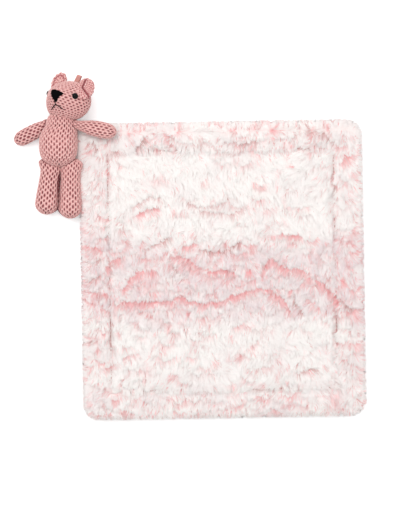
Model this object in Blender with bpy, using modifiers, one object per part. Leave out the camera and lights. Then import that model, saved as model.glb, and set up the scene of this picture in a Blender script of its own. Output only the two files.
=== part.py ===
"""Comfort blanket lovey: a knitted teddy bear that holds the corner of a square fur blanket.

The toy lies flat on its back and +Z points up, out of the bear's chest. Metres throughout.
Places are given from the middle of the bear's torso, and the whole toy is centred at the end.
"""

import math

import bmesh
import bpy
from mathutils import Euler, Matrix, Vector

# Clearances and walls
GAP = 0.0003
ROOT_GAP = 0.0008
FACE_GAP = 0.00065
WELD = 0.00003
FLOOR_FLAT = 0.0005
KNIT_WALL = 0.0012
FILLING_EASE = 0.0011

# Torso: it swells from the neck to the belly and closes under the seat
TORSO_WIDTH = 0.050
TORSO_DEPTH = 0.046
TORSO_SEAT = 0.031
TORSO_PLACE_SHARES = (0.0, 0.12, 0.27, 0.45, 0.64, 0.80, 0.90, 0.965, 1.0)
TORSO_SWELL_SHARES = (0.80, 0.91, 0.98, 1.0, 0.97, 0.84, 0.64, 0.38, 0.0)

# Neck: the round top of the torso, which the head is seated on and turns on
NECK_BALL_RADIUS = 0.0200
NECK_X = 0.0036
NECK_Y = 0.0235
NECK_RINGS = 5

# Head, about its own middle: +Z is the snout, +Y the crown
HEAD_HALF_WIDTH = 0.0298
HEAD_HALF_DEPTH = 0.026
HEAD_CROWN = 0.0247
HEAD_CHIN = 0.0272
CHIN_POWER = 0.84
CHIN_LEAN = 0.0048
HEAD_X = 0.0142
HEAD_Y = 0.0565
HEAD_ROLL_DEG = -16.0
HEAD_PITCH_DEG = 8.0
HEAD_YAW_DEG = -29.5
SNOUT_REACH = 0.0121
SNOUT_HALF_WIDTH = 0.0155
SNOUT_HALF_HEIGHT = 0.0115
SNOUT_DROP = 0.0032
SNOUT_BLEND_SHARE = 0.5

# Ears, each a back and a front pad with the seam between them
EAR_HALF_WIDTH = 0.0098
EAR_HALF_HEIGHT = 0.0140
EAR_HALF_THICKNESS = 0.0034
EAR_FRONT_SHARE = 0.9
RIGHT_EAR_AT = (-0.0216, 0.0196, -0.003)
RIGHT_EAR_TURN_DEG = (0.0, 16.0, 13.0)
LEFT_EAR_AT = (0.0216, 0.0190, 0.002)
LEFT_EAR_TURN_DEG = (0.0, 26.0, 0.0)

# Eyes: a bead with a post through the cover, locked by a washer inside
EYE_RADIUS = 0.0041
LEFT_EYE_X = 0.0202
LEFT_EYE_LOOK_DEG = 38.0
RIGHT_EYE_X = -0.0262
RIGHT_EYE_LOOK_DEG = -62.0
EYE_Y = 0.0022
EYE_SINK = 0.0022
POST_RADIUS = 0.0013
POST_LENGTH = 0.0055
WASHER_RADIUS = 0.0042
WASHER_THICKNESS = 0.001

# Nose pad and the thread of the mouth
NOSE_X = 0.0002
NOSE_HALF_WIDTH = 0.0092
NOSE_TOP = 0.0027
NOSE_HEIGHT = 0.0135
NOSE_MIDDLE_SHARE = 0.45
NOSE_ROLL_DEG = -12.0
NOSE_THICKNESS = 0.0019
NOSE_WIDEST_SHARE = 0.3
NOSE_TAPER_SHARE = 0.25
NOSE_SIDE_POWER = 0.8
NOSE_CREST_POWER = 0.7
NOSE_POINT_POWER = 1.1
MOUTH_RADIUS = 0.00055
MOUTH_X = 0.0
MOUTH_DROP = 0.0026
MOUTH_STAND = 0.0008
MOUTH_HALF_WIDTH = 0.0086
MOUTH_HEIGHT = 0.0052
MOUTH_ROLL_DEG = 8.0
MOUTH_BEND_POWER = 1.15

# Ribbon tab between the ears
TAB_WIDTH = 0.0068
TAB_LENGTH = 0.0125
TAB_THICKNESS = 0.0014
TAB_AT = (0.0034, 0.0286, 0.0)
TAB_LEAN_DEG = -9.0
TAB_EDGE = 0.0004

# Arms: a ball root sewn in a dimple, then a swelling to the hand
ARM_PLACE_SHARES = (0.0, 0.12, 0.25, 0.42, 0.60, 0.76, 1.0)
RIGHT_ARM_SWELL_SHARES = (0.74, 0.84, 0.94, 1.0, 1.0, 0.98, 0.96)
LEFT_ARM_SWELL_SHARES = (0.50, 0.56, 0.72, 0.92, 1.0, 0.98, 0.98)
ARM_ROUND_SHARE = 0.74
RIGHT_ARM_LENGTH = 0.0475
RIGHT_ARM_HALF_WIDTH = 0.0101
RIGHT_ARM_BALL = 0.0078
RIGHT_SHOULDER = (-0.0160, 0.0240)
RIGHT_SHOULDER_HEIGHT = 0.0145
RIGHT_ARM_DIRECTION_DEG = 207.0
LEFT_ARM_LENGTH = 0.0565
LEFT_ARM_HALF_WIDTH = 0.0104
LEFT_ARM_BALL = 0.0058
LEFT_SHOULDER = (0.0205, 0.0250)
LEFT_ARM_DIRECTION_DEG = -11.5
ARM_DEPTH_SHARE = 0.92

# Legs: thigh to foot, sewn under the seat
LEG_PLACE_SHARES = (0.0, 0.20, 0.40, 0.60, 0.80, 1.0)
LEG_SWELL_SHARES = (0.80, 0.84, 0.90, 0.96, 1.0, 1.0)
LEG_ROUND_SHARE = 0.78
LEG_HALF_WIDTH = 0.0150
LEG_BALL = 0.0116
LEG_DEPTH_SHARE = 1.0
HIP_HEIGHT = 0.0190
RIGHT_HIP = (-0.0104, -0.0318)
RIGHT_LEG_LENGTH = 0.0610
RIGHT_LEG_DIRECTION_DEG = -96.5
LEFT_HIP = (0.0161, -0.0318)
LEFT_LEG_LENGTH = 0.0660
LEFT_LEG_DIRECTION_DEG = -91.0

# The open root of each limb's cover, as a share of its ball
ROOT_OPEN_SHARE = 0.62

# Blanket: two fur panels, puffed between the edge seam and the topstitched channel
BLANKET_WIDTH = 0.364
BLANKET_LENGTH = 0.382
BLANKET_CORNER = 0.017
BLANKET_TURN_DEG = 1.0
BLANKET_LEFT = 0.0325
BLANKET_TOP = 0.0262
PANEL_THICKNESS = 0.0098
EDGE_ROUND = 0.011
CHANNEL_INSET = 0.034
CHANNEL_DEPTH = 0.0045
CHANNEL_HALF_WIDTH = 0.008
FOLD_HEIGHT = 0.0007
FOLD_LENGTH = 0.128
FOLD_SLANT_SHARE = 0.25
SEAM_EDGE_HEIGHT = 0.0014
BORDER_INSET_SHARES = (0.0, 0.06, 0.2, 0.5, 0.78, 1.0, 1.26)
FIELD_SHARES = (0.84, 0.66, 0.47, 0.28, 0.12)

# Threads of the blanket
THREAD_RADIUS = 0.0006
TACK_RADIUS = 0.0012
TACK_AT_SHARE = 0.80
TACK_DEPTH = 0.006

# Facets
BODY_SIDES = 18
BODY_RINGS = 12
HEAD_SIDES = 20
HEAD_RINGS = 14
FILLING_SIDES = 12
LIMB_SIDES = 12
LIMB_RINGS = 10
ROOT_RINGS = 3
SOCKET_SIDES = 20
SMALL_SIDES = 14
EAR_SIDES = 18
EAR_RINGS = 10
NOSE_SIDES = 24
MOUTH_STEPS = 5
PANEL_SIDE_POINTS = 7
PANEL_CORNER_POINTS = 4
SHARP_EDGE_DEG = 50.0

# Colours and roughness
KNIT_PINK = (0.70, 0.36, 0.35)
KNIT_LIGHT = (0.76, 0.43, 0.42)
FILLING_WHITE = (0.85, 0.84, 0.82)
FUR_CREAM = (0.89, 0.80, 0.78)
FUR_BACK = (0.88, 0.76, 0.75)
SATIN_CORAL = (0.71, 0.29, 0.25)
BLACK = (0.012, 0.012, 0.013)
WASHER_WHITE = (0.80, 0.80, 0.78)
THREAD_PINK = (0.62, 0.33, 0.33)

FLOOR = 0.0


def collection(name):
    made = bpy.data.collections.new(name)
    bpy.context.scene.collection.children.link(made)
    return made


def clear_scene():
    for obj in list(bpy.data.objects):
        bpy.data.objects.remove(obj, do_unlink=True)


def material(name, colour, roughness):
    made = bpy.data.materials.get(name)
    if made:
        return made
    made = bpy.data.materials.new(name)
    made.use_nodes = True
    shader = made.node_tree.nodes["Principled BSDF"]
    shader.inputs["Base Color"].default_value = (*colour, 1.0)
    shader.inputs["Roughness"].default_value = roughness
    shader.inputs["Metallic"].default_value = 0.0
    made.diffuse_color = (*colour, 1.0)
    return made


def knit(colour=KNIT_PINK):
    return material("knit_light" if colour == KNIT_LIGHT else "knit", colour, 0.9)


def filling_fibre():
    return material("filling_fibre", FILLING_WHITE, 1.0)


def black_plastic():
    return material("black_plastic", BLACK, 0.12)


def black_felt():
    return material("black_felt", BLACK, 0.8)


# Objects and modifiers


def add_object(name, mesh, parent, finish, group="lovey_parts"):
    obj = bpy.data.objects.new(name, mesh)
    bpy.data.collections[group].objects.link(obj)
    obj.parent = parent
    if finish:
        mesh.materials.append(finish)
    mesh.shade_smooth()
    mesh.set_sharp_from_angle(angle=math.radians(SHARP_EDGE_DEG))
    return obj


def add_cutter(name, mesh, parent):
    obj = add_object(name, mesh, parent, None, "lovey_cutters")
    obj.hide_render = True
    obj.display_type = "WIRE"
    return obj


def empty(name, parent=None, location=(0.0, 0.0, 0.0), rotation=(0.0, 0.0, 0.0)):
    obj = bpy.data.objects.new(name, None)
    bpy.data.collections["lovey_parts"].objects.link(obj)
    obj.parent = parent
    obj.location = location
    obj.rotation_euler = rotation
    return obj


def cut(obj, cutter, operation="DIFFERENCE"):
    modifier = obj.modifiers.new("cut_" + cutter.name, "BOOLEAN")
    modifier.operation = operation
    # The exact solver loses the torso's filling at the hips and leaves the head's filling open
    modifier.solver = "MANIFOLD" if obj.name in ("torso_filling", "head_filling") else "EXACT"
    modifier.object = cutter


def shell(obj):
    modifier = obj.modifiers.new("wall", "SOLIDIFY")
    modifier.thickness = KNIT_WALL
    modifier.offset = -1.0
    modifier.use_even_offset = True


def tidy_mesh(name, bm):
    bmesh.ops.recalc_face_normals(bm, faces=bm.faces)
    mesh = bpy.data.meshes.new(name)
    bm.to_mesh(mesh)
    bm.free()
    return mesh


# Shapes


def between(places, values, place):
    """The value at a place, read from a table of shares along a smooth curve through its points."""
    last = len(places) - 1
    high = next((index for index in range(1, last) if place <= places[index]), last)
    low = high - 1

    def slope(index):
        before, after = max(index - 1, 0), min(index + 1, last)
        return (values[after] - values[before]) / (places[after] - places[before])

    span = places[high] - places[low]
    step = min(max((place - places[low]) / span, 0.0), 1.0)
    rise = step * step * (3.0 - 2.0 * step)
    bend = step * (1.0 - step) * span
    value = values[low] + (values[high] - values[low]) * rise
    return value + bend * ((1.0 - step) * slope(low) - step * slope(high))


def ring(centre, across, rise, half_width, half_height, sides):
    turns = (2.0 * math.pi * index / sides for index in range(sides))
    return [
        centre + across * (half_width * math.cos(turn)) + rise * (half_height * math.sin(turn))
        for turn in turns
    ]


def loft(name, rings, start_tip=None, end_tip=None):
    """A skin over rings of points. A tip closes an end with a fan, and no tip leaves it open."""
    bm = bmesh.new()
    rows = [[bm.verts.new(point) for point in points] for points in rings]
    sides = len(rows[0])
    for row, following in zip(rows, rows[1:]):
        for side in range(sides):
            other = (side + 1) % sides
            bm.faces.new((row[side], row[other], following[other], following[side]))
    for tip, row in ((start_tip, rows[0]), (end_tip, rows[-1])):
        if tip is None:
            continue
        point = bm.verts.new(tip)
        for side in range(sides):
            bm.faces.new((row[side], row[(side + 1) % sides], point))
    return tidy_mesh(name, bm)


def ball(name, radius, sides=SMALL_SIDES):
    bm = bmesh.new()
    bmesh.ops.create_uvsphere(bm, u_segments=sides, v_segments=sides // 2, radius=radius)
    return tidy_mesh(name, bm)


def socket(name, radius):
    """A ball-shaped cutter whose facets lie outside the radius, so that a ball can turn in its cut."""
    facet_share = 1.0 / math.cos(math.pi / SOCKET_SIDES) ** 2
    return ball(name, radius * facet_share, SOCKET_SIDES)


def cylinder(name, radius, low, high):
    bm = bmesh.new()
    place = Matrix.Translation((0.0, 0.0, (low + high) / 2.0))
    bmesh.ops.create_cone(
        bm,
        cap_ends=True,
        segments=SMALL_SIDES,
        radius1=radius,
        radius2=radius,
        depth=high - low,
        matrix=place,
    )
    return tidy_mesh(name, bm)


def box(name, low, high):
    bm = bmesh.new()
    bmesh.ops.create_cube(bm, size=1.0)
    low, high = Vector(low), Vector(high)
    size = high - low
    bmesh.ops.scale(bm, vec=size, verts=bm.verts)
    bmesh.ops.translate(bm, vec=(low + high) / 2.0, verts=bm.verts)
    return tidy_mesh(name, bm)


def mesh_of_curve(obj):
    """A curve object as a welded mesh, so that it can be cut."""
    graph = bpy.context.evaluated_depsgraph_get()
    mesh = bpy.data.meshes.new_from_object(obj.evaluated_get(graph))
    bpy.data.objects.remove(obj, do_unlink=True)
    bm = bmesh.new()
    bm.from_mesh(mesh)
    bmesh.ops.remove_doubles(bm, verts=bm.verts, dist=WELD)
    bmesh.ops.recalc_face_normals(bm, faces=bm.faces)
    bm.to_mesh(mesh)
    bm.free()
    mesh.materials.clear()
    return mesh


def thread_mesh(name, points, radius, closed):
    """A round thread along a list of points, either a closed loop or a line with capped ends."""
    curve = bpy.data.curves.new(name, "CURVE")
    curve.dimensions = "3D"
    curve.bevel_depth = radius
    curve.bevel_resolution = 0 if closed else 1
    curve.use_fill_caps = not closed
    spline = curve.splines.new("POLY")
    spline.points.add(len(points) - 1)
    for point, place in zip(spline.points, points):
        point.co = (*place, 1.0)
    spline.use_cyclic_u = closed
    obj = bpy.data.objects.new(name + "_guide", curve)
    bpy.context.scene.collection.objects.link(obj)
    bpy.context.view_layer.update()
    return mesh_of_curve(obj)


# Torso


def torso_mesh(name, grow, sides=BODY_SIDES):
    """The torso's form, from its round top to the seat, grown or drawn in all round."""
    across, rise = Vector((1.0, 0.0, 0.0)), Vector((0.0, 0.0, 1.0))
    radius = NECK_BALL_RADIUS + grow
    rings = []
    for step in range(1, NECK_RINGS):
        turn = 0.5 * math.pi * step / NECK_RINGS
        centre = Vector((NECK_X, NECK_Y + radius * math.cos(turn), torso_height()))
        width = radius * math.sin(turn)
        rings.append(ring(centre, across, rise, width, width, sides))
    length = NECK_Y + TORSO_SEAT + grow
    for step in range(BODY_RINGS):
        place = math.sin(0.5 * math.pi * step / BODY_RINGS)
        swell = between(TORSO_PLACE_SHARES, TORSO_SWELL_SHARES, place)
        blend = min(place / TORSO_PLACE_SHARES[2], 1.0)
        x = NECK_X * (1.0 - blend)
        centre = Vector((x, NECK_Y - place * length, torso_height()))
        half_width = TORSO_WIDTH / 2.0 * swell + grow
        half_depth = TORSO_DEPTH / 2.0 * swell + grow
        if step == 0:
            half_width = half_depth = radius
        rings.append(ring(centre, across, rise, half_width, half_depth, sides))
    first = Vector((NECK_X, NECK_Y + radius, torso_height()))
    last = Vector((0.0, NECK_Y - length, torso_height()))
    return loft(name, rings, first, last)


def torso_height():
    return TORSO_DEPTH / 2.0 - FLOOR_FLAT


# Head


def head_height():
    """How high the head's middle lies, so that the back of the head just meets the floor."""
    yaw = math.radians(HEAD_YAW_DEG)
    low = math.hypot(HEAD_HALF_WIDTH * math.sin(yaw), HEAD_HALF_DEPTH * math.cos(yaw))
    return low - FLOOR_FLAT


def head_turn():
    roll = Matrix.Rotation(math.radians(HEAD_ROLL_DEG), 3, "Z")
    pitch = Matrix.Rotation(math.radians(-HEAD_PITCH_DEG), 3, "X")
    yaw = Matrix.Rotation(math.radians(HEAD_YAW_DEG), 3, "Y")
    return (roll @ pitch @ yaw).to_euler()


def snout(x, y):
    across, down = x / SNOUT_HALF_WIDTH, (y + SNOUT_DROP) / SNOUT_HALF_HEIGHT
    return SNOUT_REACH * math.exp(-(across**2) - down**2)


def snout_blend(z):
    """Takes the snout from nothing at the sides of the head to its full reach on the face."""
    return min(1.0, z / (HEAD_HALF_DEPTH * SNOUT_BLEND_SHARE))


def head_ring_point(turn, rise, grow):
    """A point of the head: turn goes round it, rise goes from the chin, 0, to the crown, pi."""
    crown = rise > math.pi / 2.0
    half_height = (HEAD_CROWN if crown else HEAD_CHIN) + grow
    swell = math.sin(rise) ** (1.0 if crown else CHIN_POWER)
    x = (HEAD_HALF_WIDTH + grow) * swell * math.cos(turn)
    if not crown:
        x -= CHIN_LEAN * math.cos(rise) ** 2
    y = -half_height * math.cos(rise)
    z = (HEAD_HALF_DEPTH + grow) * swell * math.sin(turn)
    if z > 0.0:
        z += snout(x, y) * snout_blend(z)
    return Vector((x, y, z))


def head_mesh(name, grow):
    rings = []
    for step in range(1, HEAD_RINGS):
        rise = math.pi * step / HEAD_RINGS
        turns = (2.0 * math.pi * side / HEAD_SIDES for side in range(HEAD_SIDES))
        rings.append([head_ring_point(turn, rise, grow) for turn in turns])
    chin = Vector((-CHIN_LEAN, -HEAD_CHIN - grow, 0.0))
    crown = Vector((0.0, HEAD_CROWN + grow, 0.0))
    return loft(name, rings, chin, crown)


def face_depth(x, y):
    """How far forward the face stands at a place on its front."""
    half_height, power = (HEAD_CROWN, 1.0) if y > 0.0 else (HEAD_CHIN, CHIN_POWER)
    swell = max(1.0 - (y / half_height) ** 2, 0.0) ** power
    lean = 0.0 if y > 0.0 else CHIN_LEAN * (y / half_height) ** 2
    z = HEAD_HALF_DEPTH * math.sqrt(max(swell - ((x + lean) / HEAD_HALF_WIDTH) ** 2, 0.0))
    return z + snout(x, y) * snout_blend(z)


def ear_half(name, front):
    bm = bmesh.new()
    bmesh.ops.create_uvsphere(bm, u_segments=EAR_SIDES, v_segments=EAR_RINGS, radius=1.0)
    share = EAR_FRONT_SHARE if front else 1.0
    size = (EAR_HALF_WIDTH * share, EAR_HALF_HEIGHT * share, EAR_HALF_THICKNESS)
    bmesh.ops.scale(bm, vec=size, verts=bm.verts)
    side = 1.0 if front else -1.0
    bmesh.ops.bisect_plane(
        bm,
        geom=bm.verts[:] + bm.edges[:] + bm.faces[:],
        dist=WELD / 10.0,
        plane_co=(0.0, 0.0, side * GAP / 2.0),
        plane_no=(0.0, 0.0, side),
        clear_inner=True,
    )
    bmesh.ops.holes_fill(bm, edges=[edge for edge in bm.edges if edge.is_boundary], sides=0)
    return tidy_mesh(name, bm)


def nose_middle():
    return NOSE_TOP - NOSE_HEIGHT * NOSE_MIDDLE_SHARE


def nose_outline():
    """The nose pad's outline: a crest with round shoulders that closes to a point below."""
    points = []
    widest = NOSE_TOP * NOSE_WIDEST_SHARE
    for step in range(NOSE_SIDES):
        turn = 2.0 * math.pi * step / NOSE_SIDES
        across, height = math.cos(turn), math.sin(turn)
        x = NOSE_HALF_WIDTH * math.copysign(abs(across) ** NOSE_SIDE_POWER, across)
        if height >= 0.0:
            y = widest + (NOSE_TOP - widest) * height ** NOSE_CREST_POWER
        else:
            x *= 1.0 + NOSE_TAPER_SHARE * height
            y = widest + (NOSE_TOP - NOSE_HEIGHT - widest) * abs(height) ** NOSE_POINT_POWER
        points.append((x, y))
    return points


def nose_prism():
    curve = bpy.data.curves.new("nose_prism", "CURVE")
    curve.dimensions = "2D"
    curve.fill_mode = "BOTH"
    curve.extrude = HEAD_HALF_DEPTH / 2.0
    outline = nose_outline()
    spline = curve.splines.new("POLY")
    spline.points.add(len(outline) - 1)
    for point, (x, y) in zip(spline.points, outline):
        point.co = (x, y - nose_middle(), 0.0, 1.0)
    spline.use_cyclic_u = True
    obj = bpy.data.objects.new("nose_prism", curve)
    bpy.context.scene.collection.objects.link(obj)
    bpy.context.view_layer.update()
    return mesh_of_curve(obj)


def mouth_points():
    """Points along the mouth, from one corner up to the nose and down to the other."""
    top = Vector((MOUTH_X, NOSE_TOP - NOSE_HEIGHT - MOUTH_DROP))
    roll = Matrix.Rotation(math.radians(MOUTH_ROLL_DEG), 2)
    points = []
    for step in range(-MOUTH_STEPS, MOUTH_STEPS + 1):
        share = step / MOUTH_STEPS
        drop = -MOUTH_HEIGHT * abs(share) ** MOUTH_BEND_POWER
        x, y = top + roll @ Vector((MOUTH_HALF_WIDTH * share, drop))
        points.append((x, y, face_depth(x, y) + MOUTH_RADIUS + MOUTH_STAND))
    return points


def head_pieces(pose):
    form = add_cutter("head_form", head_mesh("head_form", FACE_GAP), pose)
    pad_form = add_cutter("nose_pad_form", head_mesh("nose_pad_form", NOSE_THICKNESS), pose)
    cover = add_object("head_cover", head_mesh("head_cover", 0.0), pose, knit())
    shell(cover)
    inner = -KNIT_WALL - FILLING_EASE
    filling = add_object("head_filling", head_mesh("head_filling", inner), pose, filling_fibre())
    for name, at, turn in (
        ("right_ear", RIGHT_EAR_AT, RIGHT_EAR_TURN_DEG),
        ("left_ear", LEFT_EAR_AT, LEFT_EAR_TURN_DEG),
    ):
        rotation = [math.radians(angle) for angle in turn]
        for side in ("back", "front"):
            piece = name + "_" + side
            ear = add_object(piece, ear_half(piece, side == "front"), pose, knit(KNIT_LIGHT))
            ear.location = at
            ear.rotation_euler = rotation
            cut(ear, form)
    eye_pieces(pose, "right", RIGHT_EYE_X, RIGHT_EYE_LOOK_DEG, cover, filling)
    eye_pieces(pose, "left", LEFT_EYE_X, LEFT_EYE_LOOK_DEG, cover, filling)
    nose = add_object("nose", nose_prism(), pose, black_felt())
    nose.location = (NOSE_X, nose_middle(), HEAD_HALF_DEPTH + SNOUT_REACH / 2.0)
    nose.rotation_euler.z = math.radians(NOSE_ROLL_DEG)
    cut(nose, pad_form, "INTERSECT")
    cut(nose, form)
    mouth_mesh = thread_mesh("mouth_stitch", mouth_points(), MOUTH_RADIUS, False)
    mouth = add_object("mouth_stitch", mouth_mesh, pose, black_felt())
    cut(mouth, form)
    half = (TAB_WIDTH / 2.0, TAB_LENGTH / 2.0, TAB_THICKNESS / 2.0)
    tab_mesh = box("ribbon_tab", [-size for size in half], half)
    tab = add_object("ribbon_tab", tab_mesh, pose, material("satin", SATIN_CORAL, 0.35))
    tab.location = TAB_AT
    tab.rotation_euler.z = math.radians(TAB_LEAN_DEG)
    edge = tab.modifiers.new("soft_edge", "BEVEL")
    edge.width = TAB_EDGE
    edge.segments = 1
    cut(tab, form)
    return cover, filling


def eye_pieces(pose, name, x, look_deg, cover, filling):
    """A bead eye on its post, its washer, and the room for both in the cover and the filling."""
    look = empty(name + "_eye_seat", pose, (x, EYE_Y, face_depth(x, EYE_Y) - EYE_SINK))
    look.rotation_euler.y = math.radians(look_deg)
    bead = add_object(name + "_eye", ball(name + "_eye", EYE_RADIUS), look, black_plastic())
    post_low = -EYE_RADIUS - POST_LENGTH
    post_mesh = cylinder(name + "_eye_post", POST_RADIUS, post_low, 0.0)
    post = add_cutter(name + "_eye_post", post_mesh, look)
    cut(bead, post, "UNION")
    room = add_cutter(name + "_eye_room", ball(name + "_eye_room", EYE_RADIUS + GAP), look)
    bore_mesh = cylinder(name + "_post_room", POST_RADIUS + GAP, post_low - GAP, 0.0)
    bore = add_cutter(name + "_post_room", bore_mesh, look)
    high = -EYE_RADIUS - KNIT_WALL - GAP
    washer_mesh = cylinder(name + "_eye_washer", WASHER_RADIUS, high - WASHER_THICKNESS, high)
    washer_finish = material("washer_plastic", WASHER_WHITE, 0.4)
    washer = add_object(name + "_eye_washer", washer_mesh, look, washer_finish)
    cut(washer, bore)
    low = high - WASHER_THICKNESS - GAP
    washer_room_mesh = cylinder(name + "_washer_room", WASHER_RADIUS + GAP, low, high + GAP)
    washer_room = add_cutter(name + "_washer_room", washer_room_mesh, look)
    for body in (cover, filling):
        cut(body, room)
        cut(body, bore)
        cut(body, washer_room)


# Limbs


def limb_mesh(name, sizes, grow, closed):
    """A limb along +X from its pivot: a ball root, then a form that swells and ends round.

    The root is left open for a cover, because the real tube of knit is open where it is sewn on.
    """
    length, half_width, root, places, swells, round_from, depth_share = sizes
    length += grow
    root += grow
    start = -root * math.sqrt(1.0 - ROOT_OPEN_SHARE**2)
    forward, across, rise = Vector((1.0, 0.0, 0.0)), Vector((0.0, 1.0, 0.0)), Vector((0.0, 0.0, 1.0))
    rings = []
    for step in range(ROOT_RINGS):
        along = start * (1.0 - step / ROOT_RINGS)
        ball_width = math.sqrt(root**2 - along**2)
        rings.append(ring(forward * along, across, rise, ball_width, ball_width, LIMB_SIDES))
    for step in range(LIMB_RINGS):
        share = math.sin(0.5 * math.pi * step / LIMB_RINGS)
        width = half_width * between(places, swells, share) + grow
        if share > round_from:
            width *= math.sqrt(1.0 - ((share - round_from) / (1.0 - round_from)) ** 2)
        along = length * share
        ball_width = math.sqrt(max(root**2 - along**2, 0.0))
        wide, deep = max(ball_width, width), max(ball_width, width * depth_share)
        rings.append(ring(forward * along, across, rise, wide, deep, LIMB_SIDES))
    first = forward * start if closed else None
    return loft(name, rings, first, forward * length)


def limb(name, pivot, direction_deg, dip, sizes, torso_parts, root):
    """One limb, placed by an empty on its pivot, with its dimple in the torso."""
    place = empty(name + "_pivot", root, pivot)
    place.rotation_euler = Euler((0.0, dip, math.radians(direction_deg)), "XYZ")
    cover = add_object(name + "_cover", limb_mesh(name + "_cover", sizes, 0.0, False), place, knit())
    shell(cover)
    inner = -KNIT_WALL - FILLING_EASE
    filling_mesh = limb_mesh(name + "_filling", sizes, inner, True)
    filling = add_object(name + "_filling", filling_mesh, place, filling_fibre())
    dimple = add_cutter(name + "_dimple", socket(name + "_dimple", sizes[2] + ROOT_GAP), place)
    for body in torso_parts:
        cut(body, dimple)
    clear_mesh = torso_mesh(name + "_torso_clear", ROOT_GAP)
    outside = add_cutter(name + "_torso_clear", clear_mesh, root)
    # The limb keeps only what turns inside its dimple without meeting the dimple's rim
    kept = add_cutter(name + "_kept_root", socket(name + "_kept_root", sizes[2] + GAP), place)
    cut(outside, kept)
    cut(cover, outside)
    cut(filling, outside)
    return cover, filling, place


# Blanket


def rounded_outline(half_width, half_length, corner):
    """Points round a rectangle with round corners, the same count for every inset."""
    points = []
    corners = ((1, 1), (-1, 1), (-1, -1), (1, -1))
    for index, (side_x, side_y) in enumerate(corners):
        centre = Vector((side_x * (half_width - corner), side_y * (half_length - corner)))
        first = index * math.pi / 2.0
        arc = []
        for step in range(PANEL_CORNER_POINTS + 1):
            turn = first + 0.5 * math.pi * step / PANEL_CORNER_POINTS
            arc.append(centre + corner * Vector((math.cos(turn), math.sin(turn))))
        points.extend(arc)
        next_x, next_y = corners[(index + 1) % 4]
        next_centre = Vector((next_x * (half_width - corner), next_y * (half_length - corner)))
        turn = first + 0.5 * math.pi
        following = next_centre + corner * Vector((math.cos(turn), math.sin(turn)))
        for step in range(1, PANEL_SIDE_POINTS + 1):
            points.append(arc[-1].lerp(following, step / (PANEL_SIDE_POINTS + 1)))
    return points


def panel_outlines():
    """(inset, points) from the edge to the middle of a panel."""
    outlines = []
    half_width, half_length = BLANKET_WIDTH / 2.0, BLANKET_LENGTH / 2.0
    for share in BORDER_INSET_SHARES:
        inset = CHANNEL_INSET * share
        corner = BLANKET_CORNER * (1.0 - inset / half_width)
        outlines.append((inset, rounded_outline(half_width - inset, half_length - inset, corner)))
    last = CHANNEL_INSET * BORDER_INSET_SHARES[-1]
    for share in FIELD_SHARES:
        width, length = (half_width - last) * share, (half_length - last) * share
        inset = half_width - width
        outlines.append((inset, rounded_outline(width, length, BLANKET_CORNER * share)))
    return outlines


def edge_round(inset):
    """The share of its full thickness that a panel has at an inset from its edge."""
    return math.sqrt(1.0 - (1.0 - min(inset / EDGE_ROUND, 1.0)) ** 2)


def groove(inset):
    return CHANNEL_DEPTH * math.exp(-(((inset - CHANNEL_INSET) / CHANNEL_HALF_WIDTH) ** 2))


def front_height(inset, point):
    """The front panel's pile: round at the edge, drawn in at the channel, with low folds."""
    edge = edge_round(inset)
    rise = SEAM_EDGE_HEIGHT + (PANEL_THICKNESS - SEAM_EDGE_HEIGHT) * edge
    wave = math.sin(2.0 * math.pi * (point.y + FOLD_SLANT_SHARE * point.x) / FOLD_LENGTH)
    return PANEL_THICKNESS + GAP / 2.0 + rise - groove(inset) - FOLD_HEIGHT * (1.0 + wave) * edge


def back_height(inset):
    """The back panel's underside, pressed flat on the floor between its edge and the channel."""
    drop = SEAM_EDGE_HEIGHT + (PANEL_THICKNESS + FLOOR_FLAT - SEAM_EDGE_HEIGHT) * edge_round(inset)
    return max(PANEL_THICKNESS - GAP / 2.0 - drop + groove(inset), FLOOR)


def panel_mesh(name, front):
    """One fur panel: its back is flat against the other panel, and its pile stands off it."""
    flat = PANEL_THICKNESS + (GAP / 2.0 if front else -GAP / 2.0)
    outlines = panel_outlines()
    rings = [[Vector((*point, flat)) for point in outlines[0][1]]]
    for inset, points in outlines:
        rings.append([
            Vector((*point, front_height(inset, point) if front else back_height(inset)))
            for point in points
        ])
    inset, point = BLANKET_WIDTH / 2.0, Vector((0.0, 0.0))
    centre = front_height(inset, point) if front else back_height(inset)
    return loft(name, rings, Vector((0.0, 0.0, flat)), Vector((0.0, 0.0, centre)))


def channel_points():
    half_width, half_length = BLANKET_WIDTH / 2.0, BLANKET_LENGTH / 2.0
    corner = BLANKET_CORNER * (1.0 - CHANNEL_INSET / half_width)
    points = []
    for point in rounded_outline(half_width - CHANNEL_INSET, half_length - CHANNEL_INSET, corner):
        height = front_height(CHANNEL_INSET, point) + THREAD_RADIUS + GAP
        points.append((point.x, point.y, height))
    return points


def edge_points():
    half_width = BLANKET_WIDTH / 2.0 + THREAD_RADIUS + GAP
    half_length = BLANKET_LENGTH / 2.0 + THREAD_RADIUS + GAP
    corner = BLANKET_CORNER + THREAD_RADIUS + GAP
    outline = rounded_outline(half_width, half_length, corner)
    return [(point.x, point.y, PANEL_THICKNESS) for point in outline]


def blanket_top():
    return 2.0 * PANEL_THICKNESS + GAP / 2.0


def blanket_pieces(root):
    place = empty("blanket_place", root, (blanket_x(), blanket_y(), FLOOR))
    place.rotation_euler.z = math.radians(BLANKET_TURN_DEG)
    fur = material("fur", FUR_CREAM, 0.95)
    fur_back = material("fur_back", FUR_BACK, 0.95)
    front = add_object("blanket_front_panel", panel_mesh("blanket_front_panel", True), place, fur)
    add_object("blanket_back_panel", panel_mesh("blanket_back_panel", False), place, fur_back)
    thread = material("thread", THREAD_PINK, 0.8)
    stitch = thread_mesh("topstitch_thread", channel_points(), THREAD_RADIUS, True)
    add_object("topstitch_thread", stitch, place, thread)
    seam = thread_mesh("edge_seam_thread", edge_points(), THREAD_RADIUS, True)
    add_object("edge_seam_thread", seam, place, thread)
    return front, thread


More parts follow.
